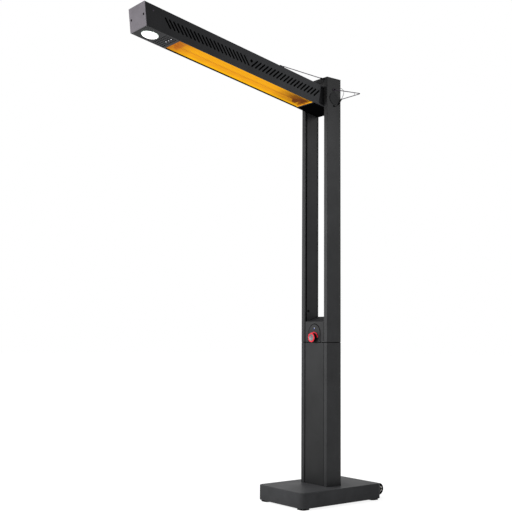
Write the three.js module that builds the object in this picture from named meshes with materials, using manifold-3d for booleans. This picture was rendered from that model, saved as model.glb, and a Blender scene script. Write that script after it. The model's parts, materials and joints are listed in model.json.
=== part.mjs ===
// Free-standing infrared patio heater: a weighted base on rear wheels, a two-legged column and
// a heater arm that folds down into the slot between the legs. Millimetres, +Z up.
// The arm points to -Y, the control knob faces -Y and the floor is z = 0.
import * as THREE from "three";
import { mergeVertices } from "three/addons/utils/BufferGeometryUtils.js";
import Module from "manifold-3d";

const wasm = await Module();
wasm.setup();

// ---------------------------------------------------------------- driving dimensions
const gap = 0.3; // clearance between two pieces that touch

// Column: two box-section legs with an open slot between them
const columnWidth = 200;
const columnDepth = 100;
const legWidth = 25;
const legWall = 2;
const legEdgeRadius = 3.5;
const legLipDepth = 8; // how far the lips run back from the front and rear faces
const legLipStep = 2.5; // how far the inner face stands back from the lips
const seamHeight = 815; // joint between the pedestal and the upper column
const seamThickness = 3;
const seamInset = 3;
const spigotLength = 60;
const panelThickness = 3;
const panelRecess = 4; // front and rear panels behind the faces of the legs
const crossbarHeight = 22;
const capThickness = 2.5;
const capPlugDepth = 14;

// Base
const baseWidth = 350;
const baseReachFront = 279; // column axis to the front end of the base
const baseReachBack = 271;
const baseTop = 84;
const baseCornerRadius = 26;
const baseTopRadius = 5;
const baseRimRadius = 1.5;
const baseWall = 2;
const basePlateThickness = 3;
const ballastThickness = 22;
const ballastMargin = 20;
const footHeight = 8;
const footSize = 52;
const footInset = 9;

// Transport wheels
const wheelRadius = 30;
const wheelWidth = 22;
const wheelOuterX = 130;
const wheelBackset = 33; // rear face of the base to the axle
const axleHeight = 45;
const axleRadius = 5;
const rimRadius = 20.5;
const rimBand = 3.5;
const hubRadius = 8.5;
const spokeCount = 5;
const spokeWidth = 5;
const bracketX = 88;
const bracketThickness = 5;
const bracketFlange = 26;

// Control panel
const controlRise = 106.5; // slot floor's front edge above the seam
const archHalfWidth = 42;
const archSpring = 57; // above the seam
const archApex = 95; // above the seam
const archRelief = 1.2;
const archGroove = 1.4; // width of the groove round it
const archGrooveDepth = 1.5;
const knobRise = 25; // knob axis above the seam
const bezelRadius = 25;
const bezelThickness = 2.5;
const arcWidth = 4;
const arcThickness = 4;
const knobRadius = 21.5;
const knobLength = 20;
const knobDish = 3;
const knobRingRadius = 24.5;
const knobRingWidth = 7.5;
const knobRingDepth = 5;
const knobStemRadius = 3.5;
const switchSize = 38;
const switchDepth = 26;
const indicatorRise = 72; // above the seam
const indicatorRadius = 4.5;
const indicatorProud = 1.5;
const catchPadSize = 11;
const catchPadThickness = 2;
const catchPadRise = 58; // above the slot's floor at the front
const catchPadY = -21;

// Hinge
const hingeBelowTop = 110; // hinge axis below the top of the column
const shaftRadius = 8;
const bushRadius = 12;
const discRadius = 33;
const discThickness = 3;
const pivotScrewRise = 47; // above the hinge axis
const lockScrewDrop = 42; // below the hinge axis
const screwShankRadius = 3;
const screwHeadRadius = 5.5;
const screwHeadHeight = 4;

// Heater arm, measured along the arm from the hinge axis
const armTilt = 9.8; // degrees above level, as it stands
const armLength = 1186;
const armWidth = 144;
const armHeight = 110;
const armWall = 1.6;
const armEdgeRadius = 2;
const armTail = 52; // behind the hinge axis
const endSlant = 32; // how much shorter the underside is
const endCapDepth = 10;
const endPlateThickness = 2;
const endScrewX = 55;
const foldClearance = 2.5; // arm's end to the slot's floor when folded

// Openings in the arm
const glowStart = 112;
const glowHalfWidth = 66.5;
const ventLength = 66;
const ventHalfWidth = 62;
const ventPitch = 13.5;
const ventHole = 7;
const ventFromGlow = 12; // strip of the underside between the two openings
const ventFromLed = 9;
const ledFromEnd = 96; // lamp's middle to the arm's end
const ledRadius = 39;
const ledProud = 7;
const ledBodyHeight = 18;
const ledFlange = 5;
const slotPitch = 23.5;
const slotWidth = 7;
const slotRise = 43; // across the arm
const frontSlotReach = 42; // along the arm
const rearSlotReach = 35;
const slotsFromEnd = 119; // first slot to the arm's end
const slotMiddle = 546; // station between the front and the rear group
const slotMiddleBreak = 4; // from there to each group
const slotRearStrip = 6; // of the side wall behind the last slot
const sideEnd = 77; // where the side walls stop in front of the hinge
const sideEdge = 7; // what stays of them above and below
const sideHole = 3;
const middleHoleRise = 8; // above the arm's middle
const endHoleRise = 28;
const endHoleFromEnd = 54;

// Heating parts
const tubeRadius = 8;
const tubeSpacing = 66;
const tubeDrop = 26; // tube axis below the arm's middle
const tubeMargin = 38; // grille's end to the tube's end
const holderLength = 16;
const holderHeight = 30;
const holderWall = 5;
const troughTop = 6; // reflector's crown below the arm's middle
const troughRidge = 30; // its middle ridge below the arm's middle
const reflectorThickness = 1.2;
const grilleRecess = 6; // from the arm's underside
const grilleBar = 2;
const grillePitch = 9.6;
const grilleLip = 3.6; // how far its rails reach over the arm's lips
const cassetteInset = 6;
const cassetteWall = 4;

// Wires
const stayRadius = 2;
const stayStation = 342;
const stayRise = 5.5; // wire above the arm's top
const stayX = 66;
const stayLugWidth = 12;
const stayLugLength = 26;
const stayDrop = 5; // wire's end below the top of the column
const sleeveRadius = 4.5;
const sleeveLength = 16;
const bailRadius = 2.2;
const bailReach = 197; // behind the hinge axis
const bailSlope = 4.3; // degrees
const bailCorner = 14;
const bailBraceReach = 46;
const bailBraceRadius = 1.4;
const eyeRadius = 6.2;
const tetherRadius = 1.2;
const tetherSleeveRadius = 2.6;

// ---------------------------------------------------------------- geometry helpers
const X = new THREE.Vector3(1, 0, 0);
const Y = new THREE.Vector3(0, 1, 0);
const Z = new THREE.Vector3(0, 0, 1);
const degrees = THREE.MathUtils.degToRad;

/** Turns a closed geometry into a solid for cutting and joining. */
function solid(geometry) {
  const bare = geometry.clone();
  for (const name of Object.keys(bare.attributes)) {
    if (name !== "position") bare.deleteAttribute(name);
  }
  const merged = mergeVertices(bare, 1e-4);
  return new wasm.Manifold(
    new wasm.Mesh({
      numProp: 3,
      vertProperties: merged.attributes.position.array,
      triVerts: Uint32Array.from(merged.index.array),
    }),
  );
}

/** Turns a solid back into a geometry. */
function geometryOf(body) {
  const mesh = body.getMesh();
  const geometry = new THREE.BufferGeometry();
  geometry.setAttribute("position", new THREE.BufferAttribute(mesh.vertProperties, 3));
  geometry.setIndex(new THREE.BufferAttribute(mesh.triVerts, 1));
  return geometry;
}

function cut(geometry, ...tools) {
  return geometryOf(tools.reduce((body, tool) => body.subtract(solid(tool)), solid(geometry)));
}

function join(geometry, ...others) {
  return geometryOf(others.reduce((body, other) => body.add(solid(other)), solid(geometry)));
}

function common(geometry, other) {
  return geometryOf(solid(geometry).intersect(solid(other)));
}

/** A box given by its low and high corners. */
function block(x0, x1, y0, y1, z0, z1) {
  const geometry = new THREE.BoxGeometry(x1 - x0, y1 - y0, z1 - z0);
  return geometry.translate((x0 + x1) / 2, (y0 + y1) / 2, (z0 + z1) / 2);
}

/** A rectangle with rounded corners, as a shape. */
function roundedRect(x0, x1, y0, y1, radius) {
  const shape = new THREE.Shape();
  shape.absarc(x1 - radius, y1 - radius, radius, 0, Math.PI / 2);
  shape.absarc(x0 + radius, y1 - radius, radius, Math.PI / 2, Math.PI);
  shape.absarc(x0 + radius, y0 + radius, radius, Math.PI, Math.PI * 1.5);
  shape.absarc(x1 - radius, y0 + radius, radius, Math.PI * 1.5, Math.PI * 2);
  return shape;
}

function polygon(points) {
  return new THREE.Shape(points.map(([a, b]) => new THREE.Vector2(a, b)));
}

const planes = {
  xy: new THREE.Matrix4(),
  xz: new THREE.Matrix4().makeBasis(X, Z, Y.clone().negate()),
  yz: new THREE.Matrix4().makeBasis(Y, Z, X),
};

/** Extrudes a shape drawn in one of the planes from one level to another along the third axis. */
function prism(shape, plane, from, to, curveSegments = 4) {
  const options = { depth: to - from, bevelEnabled: false, curveSegments };
  const geometry = new THREE.ExtrudeGeometry(shape, options);
  geometry.translate(0, 0, plane === "xz" ? -to : from);
  return geometry.applyMatrix4(planes[plane]);
}

/** A solid of revolution about an axis, from [radius, height] points that start and end on it. */
function turned(profile, axis, segments = 24) {
  const points = profile.map(([radius, height]) => new THREE.Vector2(radius, height));
  const geometry = new THREE.LatheGeometry(points, segments);
  const turn = new THREE.Quaternion().setFromUnitVectors(Y, axis);
  return geometry.applyQuaternion(turn);
}

/** A plain round bar between two levels on an axis. */
function rod(radius, axis, from, to, segments = 24) {
  const profile = [
    [0, from],
    [radius, from],
    [radius, to],
    [0, to],
  ];
  return turned(profile, axis, segments);
}

/** A ring between two radii and two levels on an axis. */
function ring(outer, inner, axis, from, to, segments = 24) {
  const profile = [
    [inner, from],
    [outer, from],
    [outer, to],
    [inner, to],
    [inner, from],
  ];
  return turned(profile, axis, segments);
}

/** Joins outlines of equally many points, each at its own height, into one closed skin. */
function loft(sections) {
  const count = sections[0].points.length;
  const positions = sections.flatMap(({ points, z }) => points.flatMap((p) => [p.x, p.y, z]));
  const faces = [];
  for (let s = 0; s + 1 < sections.length; s++) {
    for (let i = 0; i < count; i++) {
      const a = s * count + i;
      const b = s * count + ((i + 1) % count);
      faces.push(a, b, b + count, a, b + count, a + count);
    }
  }
  const last = (sections.length - 1) * count;
  for (const [a, b, c] of THREE.ShapeUtils.triangulateShape(sections[0].points, [])) {
    faces.push(a, c, b, last + a, last + b, last + c);
  }
  const geometry = new THREE.BufferGeometry();
  geometry.setAttribute("position", new THREE.Float32BufferAttribute(positions, 3));
  geometry.setIndex(faces);
  return geometry;
}

/**
 * A closed skin from flat strips that share their corner points. Each strip lies between two rows
 * of points that run the same way, and faces outwards along its own direction.
 */
function skin(strips) {
  const positions = [];
  const facet = (a, b, c, out) => {
    const turn = b.clone().sub(a).cross(c.clone().sub(a)).dot(out);
    for (const point of turn > 0 ? [a, b, c] : [a, c, b]) positions.push(...point);
  };
  for (const [near, far, out] of strips) {
    let i = 0;
    let j = 0;
    while (i + j < near.length + far.length - 2) {
      const onNear = (i + 1) / near.length <= (j + 1) / far.length;
      if (j === far.length - 1 || (onNear && i < near.length - 1)) {
        facet(near[i], near[i + 1], far[j], out);
        i++;
      } else {
        facet(near[i], far[j], far[j + 1], out);
        j++;
      }
    }
  }
  const geometry = new THREE.BufferGeometry();
  geometry.setAttribute("position", new THREE.Float32BufferAttribute(positions, 3));
  return mergeVertices(geometry, 1e-4);
}

/** A wire's path: straight runs with rounded corners, stepped only where it bends. */
class WirePath extends THREE.Curve {
  constructor(corners, cornerRadius) {
    super();
    this.points = [corners[0]];
    for (let i = 1; i + 1 < corners.length; i++) {
      const corner = corners[i];
      const back = corners[i - 1].clone().sub(corner);
      const ahead = corners[i + 1].clone().sub(corner);
      const reach = Math.min(cornerRadius, back.length() / 2.2, ahead.length() / 2.2);
      const from = corner.clone().addScaledVector(back.normalize(), reach);
      const to = corner.clone().addScaledVector(ahead.normalize(), reach);
      this.points.push(...new THREE.QuadraticBezierCurve3(from, corner, to).getPoints(3));
    }
    this.points.push(corners[corners.length - 1]);
  }
  get steps() {
    return this.points.length - 1;
  }
  getSpacedPoints() {
    return this.points;
  }
  getTangentAt(u) {
    const i = Math.round(u * this.steps);
    const before = this.points[Math.max(i - 1, 0)];
    const after = this.points[Math.min(i + 1, this.steps)];
    return after.clone().sub(before).normalize();
  }
}

/** A round wire along corner points. */
function wire(corners, radius, cornerRadius, sides = 6) {
  const path = new WirePath(corners, cornerRadius);
  const section = [];
  for (let i = 0; i < sides; i++) {
    const angle = (i * 2 * Math.PI) / sides;
    section.push([radius * Math.cos(angle), radius * Math.sin(angle)]);
  }
  const options = { steps: path.steps, extrudePath: path };
  return new THREE.ExtrudeGeometry(polygon(section), options);
}

const at = (x, y, z) => new THREE.Vector3(x, y, z);

// ---------------------------------------------------------------- materials
function finish(color, roughness, metalness) {
  return new THREE.MeshStandardMaterial({ color, roughness, metalness });
}
const charcoal = finish(0x3a3a3c, 0.55, 0.4);
const black = finish(0x0d0d0e, 0.6, 0.1);
const rubber = finish(0x111112, 0.9, 0);
const steel = finish(0xa9abad, 0.35, 0.9);
const wireGrey = finish(0x77747c, 0.4, 0.8);
const endGrey = finish(0x8c8690, 0.45, 0.6);
const red = finish(0xc8202c, 0.35, 0);
const glow = finish(0xf29a10, 0.4, 0.3);
const white = finish(0xf6f8f4, 0.3, 0);
const ceramic = finish(0xd8d4c8, 0.7, 0);
const indigo = finish(0x5560a0, 0.3, 0);

const heater = new THREE.Group();

/** Adds a named piece to a group. */
function add(parent, name, geometry, material) {
  const mesh = new THREE.Mesh(geometry, material);
  mesh.name = name;
  parent.add(mesh);
  return mesh;
}

const sides = [
  { word: "left", sign: -1 },
  { word: "right", sign: 1 },
];

// ---------------------------------------------------------------- shared places
const hingeHeight = seamHeight + controlRise + foldClearance + armLength;
const columnHeight = hingeHeight + hingeBelowTop;
const halfWidth = columnWidth / 2;
const halfDepth = columnDepth / 2;
const slotHalfWidth = halfWidth - legWidth;
const legInnerFace = slotHalfWidth + legLipStep;
const halfArmWidth = armWidth / 2;
const halfArmHeight = armHeight / 2;
const upperStart = seamHeight + seamThickness / 2 + gap;
const lowerEnd = seamHeight - seamThickness / 2 - gap;
const panelFront = -halfDepth + panelRecess;
const panelBack = panelFront + panelThickness;
const baseWallInner = baseWall + gap;
const axleY = baseReachBack + wheelBackset;
const ledStation = armLength - ledFromEnd;
const ventEnd = ledStation - ledRadius - ventFromLed;
const ventStart = ventEnd - ventLength;
const glowEnd = ventStart - ventFromGlow;
const glowLength = glowEnd - glowStart;

/** Height of the slot's sloped floor at a depth: it lies along the folded arm's slanted end. */
function shelfHeight(y) {
  const front = hingeHeight - armLength - foldClearance;
  return front + (endSlant * (y + halfArmHeight)) / armHeight;
}

// ---------------------------------------------------------------- base
function baseOutline(inset) {
  const radius = baseCornerRadius - inset;
  const x = baseWidth / 2 - inset;
  const shape = roundedRect(-x, x, -baseReachFront + inset, baseReachBack - inset, radius);
  return shape.getPoints(3);
}

function makeBase() {
  const rim = { points: baseOutline(baseRimRadius), z: footHeight };
  const sections = [rim, { points: baseOutline(0), z: footHeight + baseRimRadius }];
  for (const turn of [0, 30, 60, 90]) {
    const inset = baseTopRadius * (1 - Math.cos(degrees(turn)));
    const z = baseTop - baseTopRadius * (1 - Math.sin(degrees(turn)));
    sections.push({ points: baseOutline(inset), z });
  }
  const cavity = loft([
    { points: baseOutline(baseWall), z: footHeight - 1 },
    { points: baseOutline(baseWall), z: baseTop - baseWall },
  ]);
  add(heater, "base_cover", cut(loft(sections), cavity), charcoal);

  const plateTop = footHeight + basePlateThickness;
  const plate = loft([
    { points: baseOutline(baseWallInner), z: footHeight },
    { points: baseOutline(baseWallInner), z: plateTop },
  ]);
  add(heater, "base_plate", plate, steel);

  const ballast = block(
    -baseWidth / 2 + ballastMargin,
    baseWidth / 2 - ballastMargin,
    -baseReachFront + ballastMargin,
    baseReachBack - ballastMargin,
    plateTop + gap,
    plateTop + gap + ballastThickness,
  );
  add(heater, "ballast_plate", ballast, steel);

  const foot = roundedRect(-footSize / 2, footSize / 2, -footSize / 2, footSize / 2, footSize / 3);
  const footX = baseWidth / 2 - footInset - footSize / 2;
  const ends = [
    { word: "front", y: -baseReachFront + footInset + footSize / 2 },
    { word: "rear", y: baseReachBack - footInset - footSize / 2 },
  ];
  for (const end of ends) {
    for (const side of sides) {
      const pad = prism(foot, "xy", 0, footHeight - gap, 3);
      const name = `foot_${end.word}_${side.word}`;
      add(heater, name, pad.translate(side.sign * footX, end.y, 0), rubber);
    }
  }
}

// ---------------------------------------------------------------- wheels
function makeWheels() {
  const boreRadius = axleRadius + gap;
  const axleHalf = wheelOuterX + gap;
  const axle = rod(axleRadius, X, -axleHalf, axleHalf, 16).translate(0, axleY, axleHeight);
  add(heater, "wheel_axle", axle, steel);

  for (const side of sides) {
    const faces = [side.sign * bracketX, side.sign * (bracketX + bracketThickness)];
    const x0 = Math.min(...faces);
    const x1 = Math.max(...faces);
    const seat = baseReachBack + gap;
    const eye = axleRadius * 2.4;
    const web = new THREE.Shape();
    web.moveTo(seat, axleHeight + bracketFlange * 0.8);
    web.lineTo(seat, axleHeight - bracketFlange * 0.8);
    web.lineTo(axleY - eye, axleHeight - eye);
    web.absarc(axleY, axleHeight, eye, -Math.PI / 2, Math.PI / 2);
    const flange = block(
      side.sign > 0 ? x0 - bracketFlange : x0,
      side.sign > 0 ? x1 : x1 + bracketFlange,
      seat,
      seat + bracketThickness * 0.6,
      axleHeight - bracketFlange * 0.8,
      axleHeight + bracketFlange * 0.8,
    );
    const bore = rod(boreRadius, X, x0 - 1, x1 + 1, 16).translate(0, axleY, axleHeight);
    const bracket = cut(join(prism(web, "yz", x0, x1, 6), flange), bore);
    add(heater, `axle_bracket_${side.word}`, bracket, charcoal);

    const half = wheelWidth / 2;
    const treadShoulder = 4;
    const tread = [
      [rimRadius + gap, -half],
      [wheelRadius - treadShoulder, -half],
      [wheelRadius - treadShoulder / 3, -half + treadShoulder / 3],
      [wheelRadius, -half + treadShoulder],
      [wheelRadius, half - treadShoulder],
      [wheelRadius - treadShoulder / 3, half - treadShoulder / 3],
      [wheelRadius - treadShoulder, half],
      [rimRadius + gap, half],
      [rimRadius + gap, -half],
    ];
    const centreX = side.sign * (wheelOuterX - half);
    const tyre = turned(tread, X, 20).translate(centreX, axleY, axleHeight);
    add(heater, `wheel_tyre_${side.word}`, tyre, rubber);

    const band = ring(rimRadius, rimRadius - rimBand, X, -half + 1, half - 1, 20);
    const hub = ring(hubRadius, boreRadius, X, -half, half, 16);
    const spokes = [];
    for (let i = 0; i < spokeCount; i++) {
      const inner = hubRadius - 1;
      const outer = rimRadius - rimBand + 1;
      const spoke = block(-half / 2, half / 2, -spokeWidth / 2, spokeWidth / 2, inner, outer);
      spokes.push(spoke.rotateX((i * 2 * Math.PI) / spokeCount));
    }
    const rim = join(band, hub, ...spokes).translate(centreX, axleY, axleHeight);
    add(heater, `wheel_rim_${side.word}`, rim, steel);
  }
}

// ---------------------------------------------------------------- column
/** Cross-section of the right-hand leg: a box with lips along both edges of the slot. */
function legSection() {
  const outer = halfWidth;
  const r = legEdgeRadius;
  const shape = new THREE.Shape();
  shape.moveTo(slotHalfWidth, -halfDepth + r / 2);
  shape.lineTo(slotHalfWidth + r / 2, -halfDepth);
  shape.absarc(outer - r, -halfDepth + r, r, -Math.PI / 2, 0);
  shape.absarc(outer - r, halfDepth - r, r, 0, Math.PI / 2);
  shape.lineTo(slotHalfWidth + r / 2, halfDepth);
  shape.lineTo(slotHalfWidth, halfDepth - r / 2);
  shape.lineTo(slotHalfWidth, halfDepth - legLipDepth);
  shape.lineTo(legInnerFace, halfDepth - legLipDepth);
  shape.lineTo(legInnerFace, -halfDepth + legLipDepth);
  shape.lineTo(slotHalfWidth, -halfDepth + legLipDepth);
  const bore = new THREE.Path();
  const inner = legInnerFace + legWall;
  const depth = halfDepth - legWall;
  bore.moveTo(inner, -depth);
  bore.lineTo(inner, depth);
  bore.lineTo(outer - legWall, depth);
  bore.lineTo(outer - legWall, -depth);
  shape.holes.push(bore);
  return shape;
}

function legPiece(side, from, to, ...tools) {
  const leg = prism(legSection(), "xy", from, to, 3);
  const shaped = tools.length ? cut(leg, ...tools) : leg;
  return side.sign > 0 ? shaped : shaped.rotateZ(Math.PI);
}

/** A plate that closes the slot between the legs. */
function fillPanel(from, to, front) {
  const x = slotHalfWidth - gap;
  return block(-x, x, front, front + panelThickness, from, to);
}

function makePedestal() {
  const start = baseTop + gap;
  for (const side of sides) {
    add(heater, `pedestal_leg_${side.word}`, legPiece(side, start, lowerEnd), charcoal);
  }
  add(heater, "pedestal_front_panel", fillPanel(start, lowerEnd, panelFront), charcoal);
  const rearFront = -panelBack;
  add(heater, "pedestal_rear_panel", fillPanel(start, lowerEnd, rearFront), charcoal);

  const x = halfWidth - seamInset;
  const y = halfDepth - seamInset;
  const low = seamHeight - seamThickness / 2;
  const high = seamHeight + seamThickness / 2;
  const spigots = sides.map((side) => {
    const faces = [legInnerFace + legWall + gap, halfWidth - legWall - gap];
    const [x0, x1] = side.sign > 0 ? faces : [-faces[1], -faces[0]];
    const depth = halfDepth - legWall - gap;
    return block(x0, x1, -depth, depth, low - spigotLength, high + spigotLength);
  });
  add(heater, "seam_collar", join(block(-x, x, -y, y, low, high), ...spigots), black);
}

function makeColumn() {
  const capLow = columnHeight - capThickness;
  const boreRadius = bushRadius + gap;
  const through = [slotHalfWidth - 1, halfWidth + 1];
  const outerSkin = [halfWidth - legWall - 1, halfWidth + 1];
  const hingeBore = rod(boreRadius, X, ...through, 16).translate(0, 0, hingeHeight);
  const screwRadius = screwShankRadius + gap;
  const pivotHole = rod(screwRadius, X, ...outerSkin, 10);
  pivotHole.translate(0, 0, hingeHeight + pivotScrewRise);
  const lockHole = rod(screwRadius, X, ...outerSkin, 10);
  lockHole.translate(0, 0, hingeHeight - lockScrewDrop);

  for (const side of sides) {
    const leg = legPiece(side, upperStart, capLow - gap, hingeBore, pivotHole, lockHole);
    add(heater, `upper_leg_${side.word}`, leg, charcoal);

    const lid = prism(roundedRect(slotHalfWidth, halfWidth, -halfDepth, halfDepth, 1.5),
      "xy", capLow, columnHeight, 2);
    const plugX = [legInnerFace + legWall + gap, halfWidth - legWall - gap];
    const plugDepth = halfDepth - legWall - gap;
    const plug = block(...plugX, -plugDepth, plugDepth, capLow - capPlugDepth, capLow + 1);
    const cap = join(lid, plug);
    add(heater, `leg_cap_${side.word}`, side.sign > 0 ? cap : cap.rotateZ(Math.PI), black);

    const bush = ring(bushRadius, shaftRadius + gap, X, slotHalfWidth, halfWidth, 16);
    bush.translate(0, 0, hingeHeight);
    add(heater, `hinge_bush_${side.word}`, side.sign > 0 ? bush : bush.rotateZ(Math.PI), steel);

    const face = halfWidth + gap;
    const discProfile = [
      [0, face],
      [discRadius, face],
      [discRadius, face + discThickness * 0.55],
      [discRadius - 2.5, face + discThickness],
      [0, face + discThickness],
    ];
    const disc = turned(discProfile, X, 24).translate(0, 0, hingeHeight);
    add(heater, `hinge_disc_${side.word}`, side.sign > 0 ? disc : disc.rotateZ(Math.PI), charcoal);
  }

  const barX = slotHalfWidth - gap;
  const bar = block(-barX, barX, -halfDepth, halfDepth,
    columnHeight - crossbarHeight, columnHeight);
  add(heater, "front_crossbar", bar, black);
}

/** A button-head screw along X, with its seat at one level and its tip at another. */
function screwX(seat, tip) {
  const profile = [
    [0, tip],
    [screwShankRadius, tip],
    [screwShankRadius, seat],
    [screwHeadRadius, seat],
    [screwHeadRadius, seat + screwHeadHeight * 0.4],
    [screwHeadRadius * 0.6, seat + screwHeadHeight],
    [0, seat + screwHeadHeight],
  ];
  return turned(profile, X, 10);
}

function makeSideScrews() {
  const tip = halfWidth - legWall - 6;
  const eyeDepth = 2 * bailRadius + 2 * gap;
  for (const side of sides) {
    const place = (screw, z) => {
      screw.translate(0, 0, z);
      return side.sign > 0 ? screw : screw.rotateZ(Math.PI);
    };
    const pivot = place(screwX(halfWidth + gap + eyeDepth, tip), hingeHeight + pivotScrewRise);
    add(heater, `bail_pivot_screw_${side.word}`, pivot, black);
    const lock = place(screwX(halfWidth + gap, tip), hingeHeight - lockScrewDrop);
    add(heater, `lock_screw_${side.word}`, lock, black);
  }
}

// ---------------------------------------------------------------- slot floor and controls
/** The pointed arch over the seam, or one that stands a little outside it. */
function archShape(outside) {
  const x = archHalfWidth + outside;
  const spring = seamHeight + archSpring;
  const apex = seamHeight + archApex + outside;
  const shoulder = x * 0.86;
  const arch = new THREE.Shape();
  arch.moveTo(-x, upperStart);
  arch.lineTo(x, upperStart);
  arch.lineTo(x, spring);
  arch.quadraticCurveTo(shoulder, apex - 6, 0, apex);
  arch.quadraticCurveTo(-shoulder, apex - 6, -x, spring);
  return arch;
}

function makeControls() {
  const frontTop = shelfHeight(panelFront) - gap;
  const reliefFront = panelFront - archRelief;
  const reliefBack = panelFront + panelThickness / 2;
  const relief = prism(archShape(0), "xz", reliefFront, reliefBack, 6);
  const grooveBack = panelFront + archGrooveDepth;
  const groove = cut(
    prism(archShape(archGroove), "xz", reliefFront, grooveBack, 6),
    prism(archShape(0), "xz", reliefFront - 1, grooveBack + 1, 6),
  );
  const knobHeight = seamHeight + knobRise;
  const indicatorHeight = seamHeight + indicatorRise;
  const stemHole = rod(knobStemRadius + 1, Y, -halfDepth - 9, 0, 16).translate(0, 0, knobHeight);
  const lensHole = rod(indicatorRadius + gap, Y, -halfDepth - 9, 0, 16);
  lensHole.translate(0, 0, indicatorHeight);
  const plate = join(cut(fillPanel(upperStart, frontTop, panelFront), groove), relief);
  add(heater, "control_panel", cut(plate, stemHole, lensHole), charcoal);

  const rearFront = -panelBack;
  const rearTop = shelfHeight(rearFront) - gap - panelThickness;
  add(heater, "control_rear_panel", fillPanel(upperStart, rearTop, rearFront), charcoal);

  const shelfX = slotHalfWidth - gap;
  const shelfFront = panelBack + gap;
  const shelf = polygon([
    [panelFront, shelfHeight(panelFront)],
    [panelFront, shelfHeight(panelFront) + gap],
    [halfDepth, shelfHeight(halfDepth) + gap],
    [halfDepth, shelfHeight(halfDepth) - panelThickness + gap],
    [shelfFront, shelfHeight(shelfFront) - panelThickness + gap],
    [shelfFront, shelfHeight(shelfFront)],
  ]);
  add(heater, "slot_shelf", prism(shelf, "yz", -shelfX, shelfX), charcoal);

  const padZ = shelfHeight(-halfDepth) + catchPadRise;
  const half = catchPadSize / 2;
  const padFace = legInnerFace - gap;
  const pad = block(-padFace, -padFace + catchPadThickness, catchPadY - half, catchPadY + half,
    padZ - half, padZ + half);
  add(heater, "catch_pad", pad, rubber);

  const lensDepth = panelFront - archRelief - indicatorProud;
  const lens = [
    [0, lensDepth],
    [indicatorRadius * 0.7, lensDepth],
    [indicatorRadius, lensDepth + indicatorProud],
    [indicatorRadius, panelBack],
    [0, panelBack],
  ];
  add(heater, "indicator_lens", turned(lens, Y, 16).translate(0, 0, indicatorHeight), indigo);

  // The dial stack, from the panel outwards
  const dial = new THREE.Group();
  dial.position.set(0, reliefFront - gap, knobHeight);
  heater.add(dial);
  const bezel = ring(bezelRadius, knobStemRadius + 1, Y, -bezelThickness, 0, 24);
  add(dial, "dial_bezel", bezel, black);
  const arcInner = bezelRadius + gap;
  const arc = new THREE.Shape();
  arc.absarc(0, 0, arcInner + arcWidth, 0, Math.PI);
  arc.absarc(0, 0, arcInner, Math.PI, 0, true);
  add(dial, "dial_arc", prism(arc, "xz", -arcThickness, 0, 12), red);

  const knobBack = -bezelThickness - gap;
  const knobFront = knobBack - knobLength;
  const ringBack = knobFront + knobRingDepth - 1;
  const ringInner = knobRingRadius - knobRingWidth;
  const neck = ringInner - gap;
  const knob = [
    [0, knobFront + knobDish],
    [neck * 0.6, knobFront + knobDish * 0.7],
    [neck, knobFront + 1],
    [neck, ringBack + gap],
    [knobRadius, ringBack + gap],
    [knobRadius + 1, knobBack - 1],
    [knobRadius, knobBack],
    [knobStemRadius, knobBack],
    [knobStemRadius, archRelief + panelThickness + gap],
    [0, archRelief + panelThickness + gap],
  ];
  add(dial, "knob_body", turned(knob, Y, 24), black);
  const hoop = [
    [ringInner, ringBack],
    [ringInner, knobFront],
    [ringInner + 2.5, knobFront - 1],
    [knobRingRadius - 2, knobFront - 1],
    [knobRingRadius, knobFront + 1.5],
    [knobRingRadius, ringBack - 0.5],
    [knobRingRadius - 1.5, ringBack],
    [ringInner, ringBack],
  ];
  add(dial, "knob_ring", turned(hoop, Y, 24), red);

  const switchFront = archRelief + panelThickness + 2 * gap;
  const halfSwitch = switchSize / 2;
  const rotary = prism(roundedRect(-halfSwitch, halfSwitch, -halfSwitch, halfSwitch, 5),
    "xz", switchFront, switchFront + switchDepth, 2);
  const seatRing = ring(knobStemRadius * 2.4, knobStemRadius + 1 + gap, Y,
    archRelief + panelThickness + gap, switchFront + 1, 16);
  const stemSeat = rod(knobStemRadius + 1, Y, switchFront - 1, switchFront + 1, 16);
  add(dial, "rotary_switch", cut(join(rotary, seatRing), stemSeat), black);
}

// ---------------------------------------------------------------- heater arm
// The arm's own frame: origin on the hinge axis, the arm along -Y, its underside at -Z.
const arm = new THREE.Group();
arm.position.z = hingeHeight;
arm.rotation.x = -degrees(armTilt);
heater.add(arm);

/** The region past the slanted end face, moved back along the arm by an offset. */
function beyondEnd(offset) {
  const slope = endSlant / armHeight;
  const margin = 6;
  const top = -armLength + offset - slope * margin;
  const bottom = -armLength + offset + endSlant + slope * margin;
  const far = -armLength - 80;
  const z = halfArmHeight + margin;
  const wedge = polygon([
    [top, z],
    [far, z],
    [far, -z],
    [bottom, -z],
  ]);
  return prism(wedge, "yz", -halfArmWidth - margin, halfArmWidth + margin);
}

/** One side slot, running through both side walls: its middle and its signed reach along the arm. */
function sideSlot(station, reachAlong) {
  const tip = Math.hypot(reachAlong, slotRise) / 2;
  const half = slotWidth / 2;
  const slot = polygon([
    [tip, 0],
    [tip - half, half],
    [half - tip, half],
    [-tip, 0],
    [half - tip, -half],
    [tip - half, -half],
  ]);
  const reach = halfArmWidth + 2;
  const body = prism(slot, "yz", -reach, reach);
  body.rotateX(-Math.atan2(slotRise, reachAlong));
  return body.translate(0, -station, 0);
}

/** Middles of a row of slots, from the one nearest the arm's end back to a limit. */
function slotStations(outer, inner, reachAlong) {
  const count = 1 + Math.floor((outer - inner - reachAlong) / slotPitch);
  const first = outer - reachAlong / 2;
  return Array.from({ length: Math.max(count, 0) }, (_, i) => first - i * slotPitch);
}

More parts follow.
